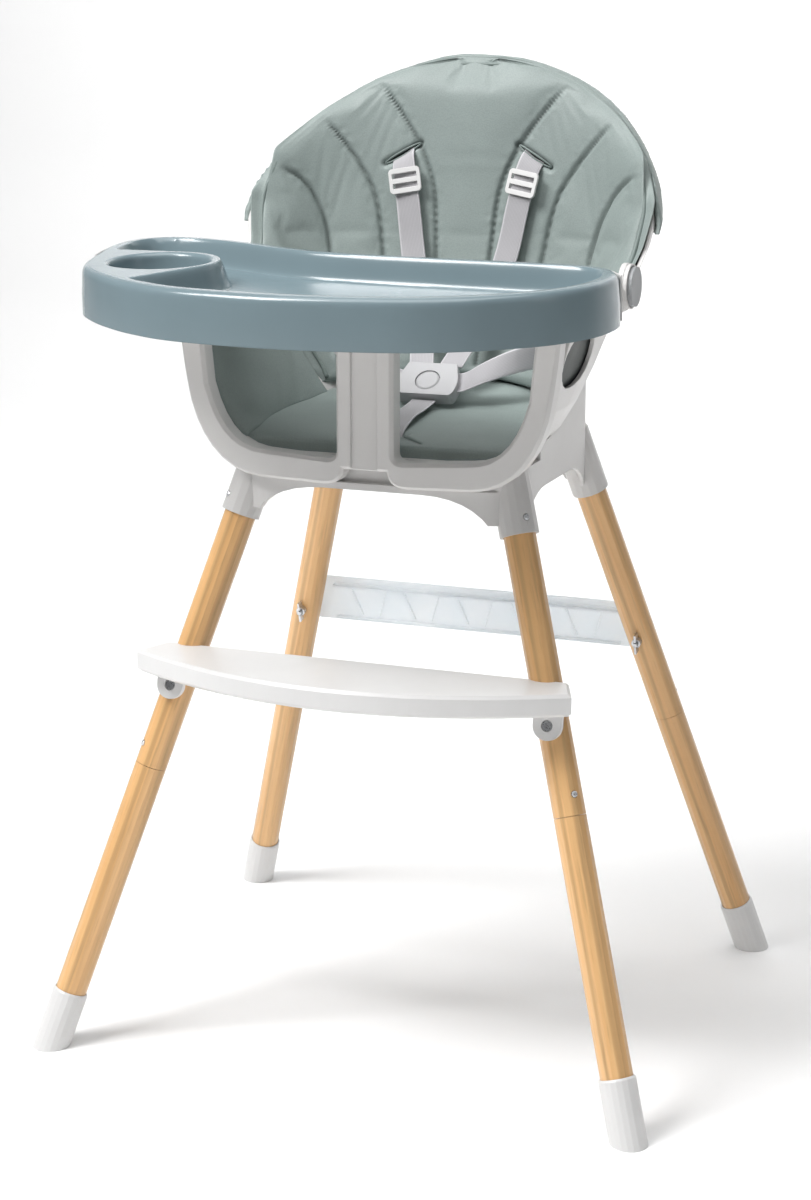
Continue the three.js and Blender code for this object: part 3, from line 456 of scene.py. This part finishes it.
def spline(points, count):
    """Evenly spread points on a smooth curve through some points."""
    points = np.asarray(points, float)
    ends = np.vstack([2 * points[0] - points[1], points, 2 * points[-1] - points[-2]])
    out = []
    for i in range(1, len(ends) - 2):
        p0, p1, p2, p3 = ends[i - 1 : i + 3]
        t = np.linspace(0, 1, 24, endpoint=False)[:, None]
        square = 2 * p0 - 5 * p1 + 4 * p2 - p3
        cube = 3 * p1 - p0 - 3 * p2 + p3
        out.append(0.5 * (2 * p1 + (p2 - p0) * t + square * t**2 + cube * t**3))
    fine = np.vstack([*out, points[-1:]])
    length = np.concatenate([[0], np.cumsum(np.linalg.norm(np.diff(fine, axis=0), axis=1))])
    at = np.linspace(0, length[-1], count)
    return np.stack([np.interp(at, length, fine[:, k]) for k in range(points.shape[1])], 1)


def eased(line, rounds):
    """A line with its small kinks smoothed away and its ends kept."""
    for _ in range(rounds):
        line[1:-1] = (line[:-2] + 2 * line[1:-1] + line[2:]) / 4
    return line


def bucket_row(z):
    return [np.interp(z, BUCKET[:, 0], BUCKET[:, k]) for k in range(1, 5)]


def bucket_x(y, z, inset):
    """The bucket's half-width at a depth and a height, its faces moved in."""
    half, rear, widest, square = bucket_row(z)
    share = np.clip((y - widest) / (rear - inset - widest), 0, 1)
    return (half - inset) * (1 - share**square) ** (1 / square)


def bucket_y(x, z, inset):
    """The bucket's rear depth at a distance from the middle and a height, its faces moved in."""
    half, rear, widest, square = bucket_row(z)
    share = np.clip(np.abs(x) / (half - inset), 0, 1)
    return widest + (rear - inset - widest) * (1 - share**square) ** (1 / square)


def chair(point):
    """A point measured from between the feet, in the row frame."""
    return Vector((point[0], point[1] + ORIGIN_SHIFT_Y, point[2]))


# ---------------------------------------------------------------- CAD nodes


def dress_nodes(looks):
    """Gives each hard CAD node its material and smooth shading."""
    for node, material in looks.items():
        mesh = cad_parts[node].data
        mesh.materials.clear()
        mesh.materials.append(material)
        smooth_shaded(mesh)


def leg_direction(corner):
    sign_x, sign_y = CORNERS[corner]
    rise = Vector((-sign_x * (FOOT[0] - SOCKET[0]), -sign_y * (FOOT[1] - SOCKET[1]), SOCKET_Z))
    return rise.normalized()


# ---------------------------------------------------------------- tray cover


def tray_frame():
    return Matrix.Translation(TRAY_PLACE) @ Matrix.Rotation(TRAY_TILT, 4, "X")


def tray_rings(count):
    """Evenly spread points of the tray's edge, the directions that lead inwards, and a finer outline."""
    corners = np.array(TRAY_EDGE) * MM
    wrapped = np.vstack([corners[-4:], corners, corners[:5]])
    fine = spline(wrapped, 6000)
    start = np.argmin(np.linalg.norm(fine[:2000] - corners[0], axis=1))
    stop = start + 2000 + np.argmin(np.linalg.norm(fine[start + 2000 :] - corners[0], axis=1))
    loop = fine[start:stop]
    edge = loop[np.linspace(0, len(loop), count, endpoint=False).astype(int)]
    along = np.roll(edge, -1, 0) - np.roll(edge, 1, 0)
    along /= np.linalg.norm(along, axis=1)[:, None]
    return edge, np.stack([-along[:, 1], along[:, 0]], 1), loop


def in_space(points):
    """Points of a plane, as points in space."""
    return np.hstack([points, np.zeros((len(points), 1))])


def land_distance(points):
    """Signed distance outside the land that joins the cup's ring to the rim."""
    circles = [(CUP_PLACE, CUP_RING), *((corner, LAND_CORNER_RADIUS) for corner in LAND_CORNERS)]
    reach = []
    for angle in np.linspace(0, 2 * math.pi, 120, endpoint=False):
        way = np.array([math.cos(angle), math.sin(angle)])
        support = max(np.dot(centre, way) + radius for centre, radius in circles)
        reach.append(points @ way - support)
    return np.max(reach, axis=0)


def recess_depth(points, loop):
    """The height of the tray's upper face: the rim's plane, and the recess with its rounded edges."""
    gap = distance_to(in_space(points), in_space(loop)) - TRAY_RIM
    land = land_distance(points)
    blend = 0.007
    overlap = np.clip(0.5 + 0.5 * (land - gap) / blend, 0, 1)
    nearest = land * (1 - overlap) + gap * overlap - blend * overlap * (1 - overlap)
    slope = np.clip((nearest + 0.002) / 0.011, 0, 1)
    return TRAY_FLOOR * slope * slope * (3 - 2 * slope)


def tray_cover_mesh():
    edge, inwards, loop = tray_rings(480)
    skirt = np.where(edge[:, 1] > TRAY_SPLIT, -0.032, -0.044)
    # The rim from its outer face to its flat top, as (inset, height) in millimetres.
    profile = [(-1.3, -26), (-0.6, -18), (-0.1, -10), (0.1, -7.2), (0.5, -5.2), (1.2, -3.4),
               (2.3, -1.9), (3.7, -0.9), (5.0, -0.5), (5.5, -0.75), (6.1, -0.25), (8.0, 0.0), (11.0, 0.0)]
    rings = [
        np.column_stack([edge - inwards * 0.0015, skirt]),
        np.column_stack([edge - inwards * 0.0014, skirt + 0.003]),
    ]
    for inset, height in profile:
        rings.append(np.column_stack([edge + inwards * inset * MM, np.full(len(edge), height * MM)]))
    shoulder = edge + inwards * 0.011
    spine = np.column_stack([np.clip(shoulder[:, 0], -0.070, 0.140), np.full(len(edge), -0.005)])
    for share in np.linspace(0, 0.94, 108)[1:]:
        place = shoulder + (spine - shoulder) * share
        rings.append(np.column_stack([place, recess_depth(place, loop)]))
    top_count = len(rings)
    middle = shoulder + (spine - shoulder) * 0.25
    rings.append(np.column_stack([middle, np.full(len(edge), -0.027)]))
    for inset, height in [(11.5, -27.0), (11.0, -8.5), (3.4, -8.5)]:
        rings.append(np.column_stack([edge + inwards * inset * MM, np.full(len(edge), height * MM)]))
    rings.append(np.column_stack([edge + inwards * 0.0016, skirt + 0.001]))
    rings.append(np.column_stack([edge + inwards * 0.0004, skirt]))
    count, total = len(edge), len(rings)
    points = np.vstack(rings)
    faces = []
    for k in range(total):
        if k == top_count - 1:
            continue
        n = (k + 1) % total
        for i in range(count):
            j = (i + 1) % count
            faces.append((k * count + i, k * count + j, n * count + j, n * count + i))
    for ring in (top_count - 1, top_count):
        faces.append(tuple(ring * count + i for i in range(count)))
    return mesh_from("tray_cover_shell", points, faces)


def turned(name, profile, segments=64):
    """A solid of revolution about Z through (radius, height) points, closed on the axis at both ends."""
    points, faces = [], []
    for radius, height in profile:
        for k in range(segments):
            angle = 2 * math.pi * k / segments
            points.append((radius * math.cos(angle), radius * math.sin(angle), height))
    for i in range(len(profile) - 1):
        for k in range(segments):
            n = (k + 1) % segments
            faces.append((i * segments + k, i * segments + n, (i + 1) * segments + n, (i + 1) * segments + k))
    last = (len(profile) - 1) * segments
    faces += [tuple(range(segments)), tuple(range(last, last + segments))]
    return mesh_from(name, points, faces)


def boolean(piece, tool_mesh, place, operation):
    tool = bpy.data.objects.new("tool", tool_mesh)
    tool.location = place
    bpy.context.scene.collection.objects.link(tool)
    modifier = piece.modifiers.new("boolean", "BOOLEAN")
    modifier.operation = operation
    modifier.solver = "EXACT"
    modifier.object = tool
    baked(piece)
    bpy.data.objects.remove(tool)


def make_tray_cover(material):
    mesh = tray_cover_mesh()
    piece = bpy.data.objects.new("tray_cover_shell", mesh)
    bpy.context.scene.collection.objects.link(piece)
    wall = [(0.0450, -0.0372), (0.0485, -0.0355), (0.0485, -0.0200)]
    bore = [(0.0380, -0.0340), (0.0420, -0.0326), (0.0438, -0.0290), (0.0455, -0.0060), (0.0458, -0.0040),
            (0.0464, -0.0024), (0.0474, -0.0012), (0.0488, -0.0004), (0.0505, 0.0002), (0.0505, 0.0100)]
    place = (*CUP_PLACE, 0)
    boolean(piece, turned("cup_wall", wall), place, "UNION")
    boolean(piece, turned("cup_bore", bore), place, "DIFFERENCE")
    piece.data.materials.clear()
    piece.data.materials.append(material)
    piece.data.transform(tray_frame())
    smooth_shaded(piece.data, 32)
    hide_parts("tray_cover")
    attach(piece, "tray_cover")
    return piece


# ---------------------------------------------------------------- cushions


def remeshed(node, name, voxel, rounds):
    """A copy of a CAD solid with an even mesh and softened edges."""
    piece = bpy.data.objects.new(name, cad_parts[node].data.copy())
    bpy.context.scene.collection.objects.link(piece)
    grid = piece.modifiers.new("grid", "REMESH")
    grid.mode = "VOXEL"
    grid.voxel_size = voxel
    soften = piece.modifiers.new("soften", "SMOOTH")
    soften.factor = 0.5
    soften.iterations = rounds
    baked(piece)
    return piece


def inflated(piece, held, cap):
    """Swells a piece as cloth under pressure.

    held is each point's pin weight, and no point moves further than cap.
    """
    rest = points_of(piece.data)
    group = piece.vertex_groups.new(name="held")
    for index in np.flatnonzero(held > 0.01):
        group.add([int(index)], float(held[index]), "REPLACE")
    cloth = piece.modifiers.new("cloth", "CLOTH")
    cloth.settings.quality = 4
    cloth.settings.mass = 0.25
    cloth.settings.tension_stiffness = 12
    cloth.settings.compression_stiffness = 12
    cloth.settings.shear_stiffness = 4
    cloth.settings.bending_stiffness = 0.6
    cloth.settings.use_pressure = True
    cloth.settings.uniform_pressure_force = CUSHION_PRESSURE
    cloth.settings.vertex_group_mass = "held"
    cloth.settings.effector_weights.gravity = 0
    cloth.collision_settings.use_collision = False
    cloth.point_cache.frame_start = 1
    cloth.point_cache.frame_end = 20
    scene = bpy.context.scene
    for step in range(1, 21):
        scene.frame_set(step)
    baked(piece)
    scene.frame_set(1)
    piece.vertex_groups.clear()
    moved = points_of(piece.data) - rest
    reach = np.linalg.norm(moved, axis=1)[:, None]
    set_points(piece.data, rest + moved * cap * np.tanh(reach / cap) / np.maximum(reach, 1e-9))


def subdivided(piece):
    modifier = piece.modifiers.new("finer", "SUBSURF")
    modifier.levels = modifier.render_levels = 1
    baked(piece)


def distance_to(points, line):
    tree = KDTree(len(line))
    for i, point in enumerate(line):
        tree.insert(Vector(point), i)
    tree.balance()
    return np.array([tree.find(Vector(p))[2] for p in points])


def facing_seat(points, normals):
    """How far each point's normal looks towards the middle of the seat, from -1 to 1."""
    towards = np.zeros_like(points)
    towards[:, 0] = -points[:, 0]
    towards[:, 1] = -0.06 + ORIGIN_SHIFT_Y - points[:, 1]
    towards /= np.maximum(np.linalg.norm(towards, axis=1)[:, None], 1e-6)
    return (normals * towards).sum(1)


def on_back_face(x, z):
    """A point on the back cushion's front face."""
    return np.array([x, bucket_y(x, z, CUSHION_FACE_INSET) + ORIGIN_SHIFT_Y, z])


def pad_top(y):
    """The seat pad's top, as in the CAD."""
    return np.where(y < 0.020, 0.608 - 0.1 * (0.020 - y), 0.608 + 0.22 * (y - 0.020))


def quilt(name, face, back):
    """A closed pad between two grids of points. Returns the piece, with its face's points first."""
    rows, columns = face.shape[:2]
    size = rows * columns

    def at(row, column, layer):
        return layer * size + row * columns + column

    faces = []
    for layer in (0, 1):
        for r in range(rows - 1):
            for c in range(columns - 1):
                corners = ((r, c), (r, c + 1), (r + 1, c + 1), (r + 1, c))
                faces.append(tuple(at(row, column, layer) for row, column in corners))
    for r in range(rows - 1):
        for c in (0, columns - 1):
            faces.append((at(r, c, 0), at(r + 1, c, 0), at(r + 1, c, 1), at(r, c, 1)))
    for c in range(columns - 1):
        for r in (0, rows - 1):
            faces.append((at(r, c, 0), at(r, c + 1, 0), at(r, c + 1, 1), at(r, c, 1)))
    points = np.vstack([face.reshape(-1, 3), back.reshape(-1, 3)])
    piece = bpy.data.objects.new(name, mesh_from(name, points, faces))
    bpy.context.scene.collection.objects.link(piece)
    return piece


def border_of(grid):
    return np.vstack([grid[:, 0], grid[-1], grid[::-1, -1]])


def rounded_in(piece, face, border, depth, reach):
    """Draws a pad's face back towards its border, so that its edge is round and thin."""
    points, normals = points_of(piece.data), normals_of(piece.data)
    count = face.shape[0] * face.shape[1]
    near = distance_to(points[:count], border)
    points[:count] -= normals[:count] * (depth * np.exp(-near / reach))[:, None]
    set_points(piece.data, points)


def swell(piece, face, fixed, cap):
    """Inflates a pad's face and holds its back, its border and some of its points."""
    rows, columns = face.shape[:2]
    held = np.ones(len(piece.data.vertices))
    free = np.zeros((rows, columns), bool)
    free[1:-1, 1:-1] = True
    held[: rows * columns][free.ravel() & ~fixed] = 0.0
    inflated(piece, held, cap)


def on_the_face(points, normals):
    """How much of a back cushion's seam is sewn at each point: all of it on the face, none behind."""
    return np.clip(facing_seat(points, normals) * 3, 0, 1)


def on_the_top(points, normals):
    """The same for the seat's pad."""
    return np.clip(normals[:, 2] * 2, 0, 1)


def back_seam_lines():
    lines = []
    for seam in BACK_SEAMS:
        flat = spline(seam, 90)
        for sign in (-1, 1):
            lines.append(np.array([on_back_face(sign * x, z) for x, z in flat]))
    return lines


def sew(piece, lines, mask, depth, width, pucker):
    """Pulls sewn channels into a cushion along some lines, with small puckers beside the thread."""
    points, normals = points_of(piece.data), normals_of(piece.data)
    near = distance_to(points, np.vstack(lines))
    wrinkle = np.array([noise(Vector(p) * 160) for p in points])
    groove = np.exp(-((near / width) ** 2)) * depth
    ruffle = np.exp(-(((near - 2.4 * width) / (1.6 * width)) ** 2)) * wrinkle * pucker
    set_points(piece.data, points + normals * ((ruffle - groove) * mask(points, normals))[:, None])


def press(piece, centres, ups, acrosses, half_width, clearance):
    """Dents a cushion where a strap lies on it, so that it stays behind the strap."""
    points = points_of(piece.data)
    tree = KDTree(len(centres))
    for i, centre in enumerate(centres):
        tree.insert(Vector(centre), i)
    tree.balance()
    for k, point in enumerate(points):
        _, i, gap = tree.find(Vector(point))
        if gap > 0.05:
            continue
        offset = point - centres[i]
        lateral = abs(offset.dot(acrosses[i]))
        limit = -clearance + max(0.0, lateral - half_width) * 0.9
        height = offset.dot(ups[i])
        if limit < height < 0.03:
            points[k] = point - ups[i] * (height - limit)
    set_points(piece.data, points)


def shaded(piece, amounts):
    """Darkens a cushion's leather point by point, from 0 for not at all to 1 for nearly black."""
    layer = piece.data.attributes.new("shade", "FLOAT", "POINT")
    layer.data.foreach_set("value", np.ascontiguousarray(amounts, np.float32))


def finish_cushion(piece, material, nodes):
    mesh = piece.data
    mesh.materials.clear()
    mesh.materials.append(material)
    mesh.shade_smooth()
    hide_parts(*nodes)
    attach(piece, "chair")
    return piece


def creased(piece, amount, scale):
    """Slack leather: broad shallow folds over the whole piece, with a given spatial scale."""
    points, normals = points_of(piece.data), normals_of(piece.data)
    folds = np.array([noise(Vector((p[0], p[1], p[2] * 0.6)) * scale) for p in points])
    set_points(piece.data, points + normals * (folds * amount)[:, None])


def section(z, inset, columns):
    """Evenly spread points of the back cushion at one height, between its two front edges."""
    half, rear, widest, square = bucket_row(z)
    angle = np.linspace(-math.pi / 2, math.pi / 2, 1200)
    x = (half - inset) * np.sign(np.sin(angle)) * np.abs(np.sin(angle)) ** (2 / square)
    y = widest + (rear - inset - widest) * np.abs(np.cos(angle)) ** (2 / square)
    arch = ARCH_HALF
    if z > ARCH_SPRING_Z:
        arch *= math.sqrt(max(1e-4, 1 - ((z - ARCH_SPRING_Z) / (ARCH_TOP_Z - ARCH_SPRING_Z)) ** 2))
    front = float(np.interp(z, (0.711, *EDGE_Z), (0.045, *EDGE_Y)))
    kept = (y >= front) & (np.abs(x) <= arch)
    x, y = x[kept], y[kept]
    length = np.concatenate([[0], np.cumsum(np.hypot(np.diff(x), np.diff(y)))])
    at = np.linspace(0, length[-1], columns)
    return np.interp(at, length, x), np.interp(at, length, y)


def back_grid(inset, columns=156):
    lower = np.linspace(0.632, ARCH_SPRING_Z, 36)
    upper = ARCH_SPRING_Z + (ARCH_TOP_Z - ARCH_SPRING_Z) * np.sin(np.linspace(0, 1.5, 60)[1:])
    rows = []
    for k, z in enumerate([0.632, *lower, *upper]):
        x, y = section(z, inset, columns)
        height = pad_top(y) + 0.0015 if k == 0 else np.full(columns, z)
        rows.append(np.column_stack([x, y + ORIGIN_SHIFT_Y, height]))
    rows[1][:, 2] += 0.002
    return np.array(rows)


def make_back_cushion(material, straps):
    face, back = back_grid(CUSHION_FACE_INSET), back_grid(CUSHION_REAR_INSET)
    piece = quilt("back_cushion", face, back)
    rim = border_of(face)
    rounded_in(piece, face, rim, 0.0125, 0.010)
    lines = back_seam_lines()
    points = points_of(piece.data)
    count = face.shape[0] * face.shape[1]
    near = distance_to(points[:count], np.vstack(lines))
    swell(piece, face, near < 0.0042, 0.007)
    points, normals = points_of(piece.data), normals_of(piece.data)
    rim = border_of((points + normals * 0.0022)[:count].reshape(face.shape))
    subdivided(piece)
    points, normals = points_of(piece.data), normals_of(piece.data)
    thread = np.exp(-((distance_to(points, np.vstack(lines)) / SEAM_THREAD) ** 2))
    shaded(piece, 0.60 * thread * on_the_face(points, normals))
    sew(piece, lines, on_the_face, 0.0040, 0.0024, 0.0006)
    slots = [np.array([on_back_face(sign * x, z) for x, z in spline(BACK_SLOT, 12)]) for sign in (-1, 1)]
    sew(piece, slots, on_the_face, 0.006, 0.0030, 0.0)
    creased(piece, 0.0007, 30)
    for strap in straps:
        press(piece, *(part[TUCKED_ROWS:] for part in strap), WEBBING / 2, STRAP_CLEARANCE)
    finish_cushion(piece, material, ["cushion_back"])
    return eased(spline(rim[::3], 300), 12)


def make_seat_cushion(material, straps):
    rows, columns = 48, 66
    depth = np.linspace(PAD_FRONT, PAD_REAR, rows)
    across = np.linspace(-1, 1, columns)
    face, base = np.zeros((rows, columns, 3)), np.zeros((rows, columns, 3))
    for k, y in enumerate(depth):
        top = float(pad_top(y))
        ahead = np.full(columns, y)
        face[k] = np.column_stack([across * bucket_x(y, top, 0.0048), ahead, np.full(columns, top)])
        base[k] = np.column_stack([across * bucket_x(y, 0.580, 0.0055), ahead, np.full(columns, 0.5722)])
    for grid in (face, base):
        grid[:, :, 1] += ORIGIN_SHIFT_Y
    piece = quilt("seat_cushion", face, base)
    border = np.vstack([border_of(face), face[0]])
    rounded_in(piece, face, border, 0.0035, 0.006)
    swell(piece, face, np.zeros(rows * columns, bool), 0.006)
    subdivided(piece)
    creased(piece, 0.0013, 20)
    slot_y, slot_z = PAD_SLOT_Y + ORIGIN_SHIFT_Y, float(pad_top(PAD_SLOT_Y))
    slot = [np.array([(x, slot_y, slot_z) for x in np.linspace(-0.015, 0.015, 12)])]
    sew(piece, slot, on_the_top, 0.005, 0.004, 0.0)
    for strap in straps:
        press(piece, *strap, WEBBING / 2, STRAP_CLEARANCE)
    return finish_cushion(piece, material, ["cushion_seat"])


def make_side_cushion(side, material):
    sign, rows, columns = SIDES[side], 24, 36
    depth = np.linspace(PAD_FRONT, SIDE_PAD_REAR, columns)
    lower = pad_top(depth) - 0.0035
    face, back = np.zeros((rows, columns, 3)), np.zeros((rows, columns, 3))
    for k, share in enumerate(np.linspace(0, 1, rows)):
        height = lower + (SIDE_PAD_TOP - lower) * share
        for grid, inset in ((face, SIDE_PAD_INSET), (back, CUSHION_REAR_INSET)):
            grid[k] = np.column_stack([sign * bucket_x(depth, height, inset), depth + ORIGIN_SHIFT_Y, height])
    piece = quilt(f"side_cushion_{side}", face, back)
    border = np.vstack([border_of(face), face[0]])
    rounded_in(piece, face, border, 0.0030, 0.005)
    swell(piece, face, np.zeros(rows * columns, bool), 0.005)
    subdivided(piece)
    creased(piece, 0.0010, 26)
    # Painted shade: the outward faces, seen through the shell's side openings, are darkened almost to black.
    outwards = -facing_seat(points_of(piece.data), normals_of(piece.data))
    shaded(piece, np.clip(outwards * 4 - 1, 0, 1))
    return finish_cushion(piece, material, [f"cushion_side_{side}"])


def make_back_pocket(material):
    piece = remeshed("back_pocket", "back_pocket_cover", 0.0028, 3)
    creased(piece, 0.0016, 18)
    return finish_cushion(piece, material, ["back_pocket"])


def make_rim_piping(line, material):
    """A round bead of piping along the back cushion's rim, in a darker copy of the sage leather as painted
    shade.
    """
    bead = tube("rim_piping", line, PIPING_RADIUS, 10)
    return new_object("rim_piping", bead, material, "chair")


# ---------------------------------------------------------------- harness


def strap_rows(path, acrosses, steps):
    """Centres, across directions and face normals evenly along a strap."""
    centres = spline([tuple(chair(p)) for p in path], steps)
    ways = spline(acrosses, steps)
    tangents = np.gradient(centres, axis=0)
    tangents /= np.linalg.norm(tangents, axis=1)[:, None]
    ways = ways / np.linalg.norm(ways, axis=1)[:, None]
    ups = np.cross(tangents, ways)
    ups /= np.linalg.norm(ups, axis=1)[:, None]
    return centres, ups, ways


def band(name, rows, material, node=None, width=WEBBING, thickness=WEBBING_THICKNESS, ripple=0.0004):
    """A strap of webbing with rounded selvedges. Its UVs are its length and width in metres."""
    centres, ups, ways = rows
    across = np.array([-0.5, -0.46, -0.38, -0.2, 0.0, 0.2, 0.38, 0.46, 0.5]) * width
    lift = np.array([0.0, 0.42, 0.5, 0.5, 0.5, 0.5, 0.5, 0.42, 0.0]) * thickness
    ring = [(a, h) for a, h in zip(across, lift)] + [(a, -h) for a, h in zip(across[-2:0:-1], lift[-2:0:-1])]
    length = np.concatenate([[0], np.cumsum(np.linalg.norm(np.diff(centres, axis=0), axis=1))])
    points, faces, uvs = [], [], []
    for i, (centre, up, way) in enumerate(zip(centres, ups, ways)):
        for a, h in ring:
            wave = ripple * noise(Vector((length[i] * 30, a * 40, 3.7)))
            points.append(centre + way * a + up * (h + wave))
            uvs.append((length[i], a))
    size = len(ring)
    for i in range(len(centres) - 1):
        for k in range(size):
            n = (k + 1) % size
            faces.append((i * size + k, i * size + n, (i + 1) * size + n, (i + 1) * size + k))
    last = (len(centres) - 1) * size
    faces += [tuple(range(size)), tuple(range(last, last + size))]
    mesh = mesh_from(name, points, faces)
    layer = mesh.uv_layers.new(name="length_and_width")
    for loop in mesh.loops:
        layer.data[loop.index].uv = uvs[loop.vertex_index]
    piece = new_object(name, mesh, material, "chair")
    if node:
        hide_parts(node)
    return piece


def shoulder_rows(sign):
    path = [
        (sign * 0.0705, 0.1500, 0.8470),
        (sign * 0.0690, 0.1400, 0.8425),
        (sign * 0.0665, 0.1300, 0.8340),
        (sign * 0.0620, 0.1243, 0.8160),
        (sign * 0.0570, 0.1196, 0.7900),
        (sign * 0.0500, 0.1125, 0.7500),
        (sign * 0.0380, 0.0970, 0.7020),
        (sign * 0.0230, 0.0670, 0.6640),
        (sign * 0.0150, 0.0450, 0.6430),
    ]
    slanted, level = (0.87, -sign * 0.10, -sign * 0.50), (1.0, -sign * 0.14, 0.0)
    easing = (0.96, -sign * 0.13, -sign * 0.25)
    acrosses = [slanted, slanted, easing, level, level, level, level, level, (1, 0, 0)]
    return strap_rows(path, acrosses, 70)


def crotch_rows():
    path = [(0, -0.0800, 0.5800), (0, -0.0790, 0.5960), (0, -0.0500, 0.6070), (0, -0.0220, 0.6100),
            (0, 0.0060, 0.6135), (0, 0.0100, 0.6145)]
    return strap_rows(path, [(-1, 0, 0)] * 6, 44)


def waist_rows(sign):
    path = [
        (sign * 0.024, 0.0290, 0.6300),
        (sign * 0.036, 0.0280, 0.6320),
        (sign * 0.056, 0.0235, 0.6420),
        (sign * 0.080, 0.0320, 0.6520),
        (sign * 0.102, 0.0500, 0.6580),
        (sign * 0.122, 0.0700, 0.6600),
    ]
    flat, turning, upright = (0, 0.766, 0.643), (0, 0.5, 0.86), (0, 0.05, 1.0)
    return strap_rows(path, [flat, flat, turning, upright, upright, (0, -0.1, 1.0)], 50)


def make_harness(material, shoulders, crotch):
    for side, sign in SIDES.items():
        band(f"shoulder_webbing_{side}", shoulders[side], material, f"shoulder_strap_{side}")
        band(f"waist_webbing_{side}", waist_rows(sign), material, f"waist_strap_{side}")
    band("crotch_webbing", crotch, material, "crotch_strap")


def make_slot_bindings(shaded_binding_look, painted_shadow_look):
    """The bound slots the shoulder straps come out of, each with a near-black disc inside as painted shadow.
    """
    segments = 40
    for side, sign in SIDES.items():
        ends = [on_back_face(sign * x, z) for x, z in BACK_SLOT]
        middle, half = (ends[0] + ends[1]) / 2, (ends[1] - ends[0]) / 2
        up = np.array([0, 0, 1.0]) - half * half[2] / half.dot(half)
        up /= np.linalg.norm(up)
        out = np.cross(half, up)
        out *= -np.sign(out[1]) / np.linalg.norm(out)
        loop = []
        for k in range(segments):
            angle = 2 * math.pi * k / segments
            bow = 0.0030 * math.cos(angle) ** 2
            edge = half * math.cos(angle) + up * 0.0022 * math.sin(angle)
            loop.append(middle + edge + out * (0.0006 - bow))
        ring = tube(f"slot_binding_{side}", loop, 0.0010, 8, closed=True)
        # The binding ring is the darker sage leather, as painted shade under the slot's flap.
        new_object(f"slot_binding_{side}", ring, shaded_binding_look, "chair")
        # Painted shadow: a near-black disc just behind each binding fills the slot, where the shade inside it
        # falls.
        inner = [middle - out * 0.001] + [p - out * 0.001 for p in loop]
        faces = [(0, 1 + k, 1 + (k + 1) % segments) for k in range(segments)]
        shadow_disc_mesh = mesh_from(f"slot_shadow_disc_{side}", inner, faces)
        new_object(f"slot_shadow_disc_{side}", shadow_disc_mesh, painted_shadow_look, "chair")


# ---------------------------------------------------------------- the scene

place_camera()
light_studio()

sweep = [(-6.0, 0.0), (2.2, 0.0), (2.75, 0.08), (3.15, 0.3), (3.4, 0.65), (3.5, 1.1), (3.5, 5.0)]
floor_points = [(x, y, z) for y, z in sweep for x in (-7, 7)]
floor_faces = [(2 * k, 2 * k + 1, 2 * k + 3, 2 * k + 2) for k in range(len(sweep) - 1)]
floor_mesh = mesh_from("floor", floor_points, floor_faces)
floor = bpy.data.objects.new("floor", floor_mesh)
bpy.context.scene.collection.objects.link(floor)
floor_mesh.materials.append(floor_paint())

white = plastic("white_plastic", (0.665, 0.655, 0.645), 0.36, edge=1.6 * MM)
fittings = plastic("white_fittings", (0.74, 0.735, 0.73), 0.36, edge=1.0 * MM)
tray_blue = plastic("tray_blue", (0.176, 0.238, 0.263), 0.20, grain=0.05, edge=1.5 * MM, Coat_Weight=0.25,
                    Coat_Roughness=0.1)
knob_grey = plastic("knob_grey", (0.30, 0.31, 0.32), 0.42, edge=0.8 * MM)
buckle_grey = plastic("buckle_plastic", (0.44, 0.44, 0.45), 0.34, edge=1.0 * MM)
sage = leather("sage_leather", (0.275, 0.325, 0.312))
# A darker copy of the sage leather: painted shade on the rim piping and the slot bindings.
shaded_sage = leather("sage_leather_shaded", (0.200, 0.245, 0.232))
# Near-black leather for the slot discs: painted shadow inside the strap slots.
slot_painted_shadow = leather("slot_painted_shadow", (0.03, 0.04, 0.035))
grey_webbing = webbing_fabric("grey_webbing", (0.47, 0.46, 0.48))
bright_steel = steel("bright_steel")

looks = {node: white for node in ("seat_shell", "front_guard", "seat_base", "tray_base")}
looks["footrest"] = fittings
looks |= {node: buckle_grey for node in ("buckle_body", "buckle_button")}
looks["rear_brace"] = frosted("frosted_plastic")
for side in SIDES:
    looks[f"tray_knob_{side}"] = knob_grey
    looks[f"strap_adjuster_{side}"] = fittings
    looks[f"footrest_screw_{side}"] = bright_steel
    looks[f"brace_bolt_{side}"] = bright_steel
    looks[f"wing_nut_{side}"] = bright_steel
for corner in CORNERS:
    wood = beech(f"beech_{corner}", leg_direction(corner))
    looks[f"leg_upper_{corner}"] = wood
    looks[f"leg_lower_{corner}"] = wood
    looks[f"foot_{corner}"] = fittings
    looks[f"socket_button_{corner}"] = bright_steel
    looks[f"seam_button_{corner}"] = bright_steel
dress_nodes(looks)

make_tray_cover(tray_blue)

shoulders = {side: shoulder_rows(sign) for side, sign in SIDES.items()}
crotch = crotch_rows()
rim = make_back_cushion(sage, list(shoulders.values()))
make_seat_cushion(sage, [crotch])
for side in SIDES:
    make_side_cushion(side, sage)
make_back_pocket(sage)
make_rim_piping(rim, shaded_sage)
make_harness(grey_webbing, shoulders, crotch)
make_slot_bindings(shaded_sage, slot_painted_shadow)
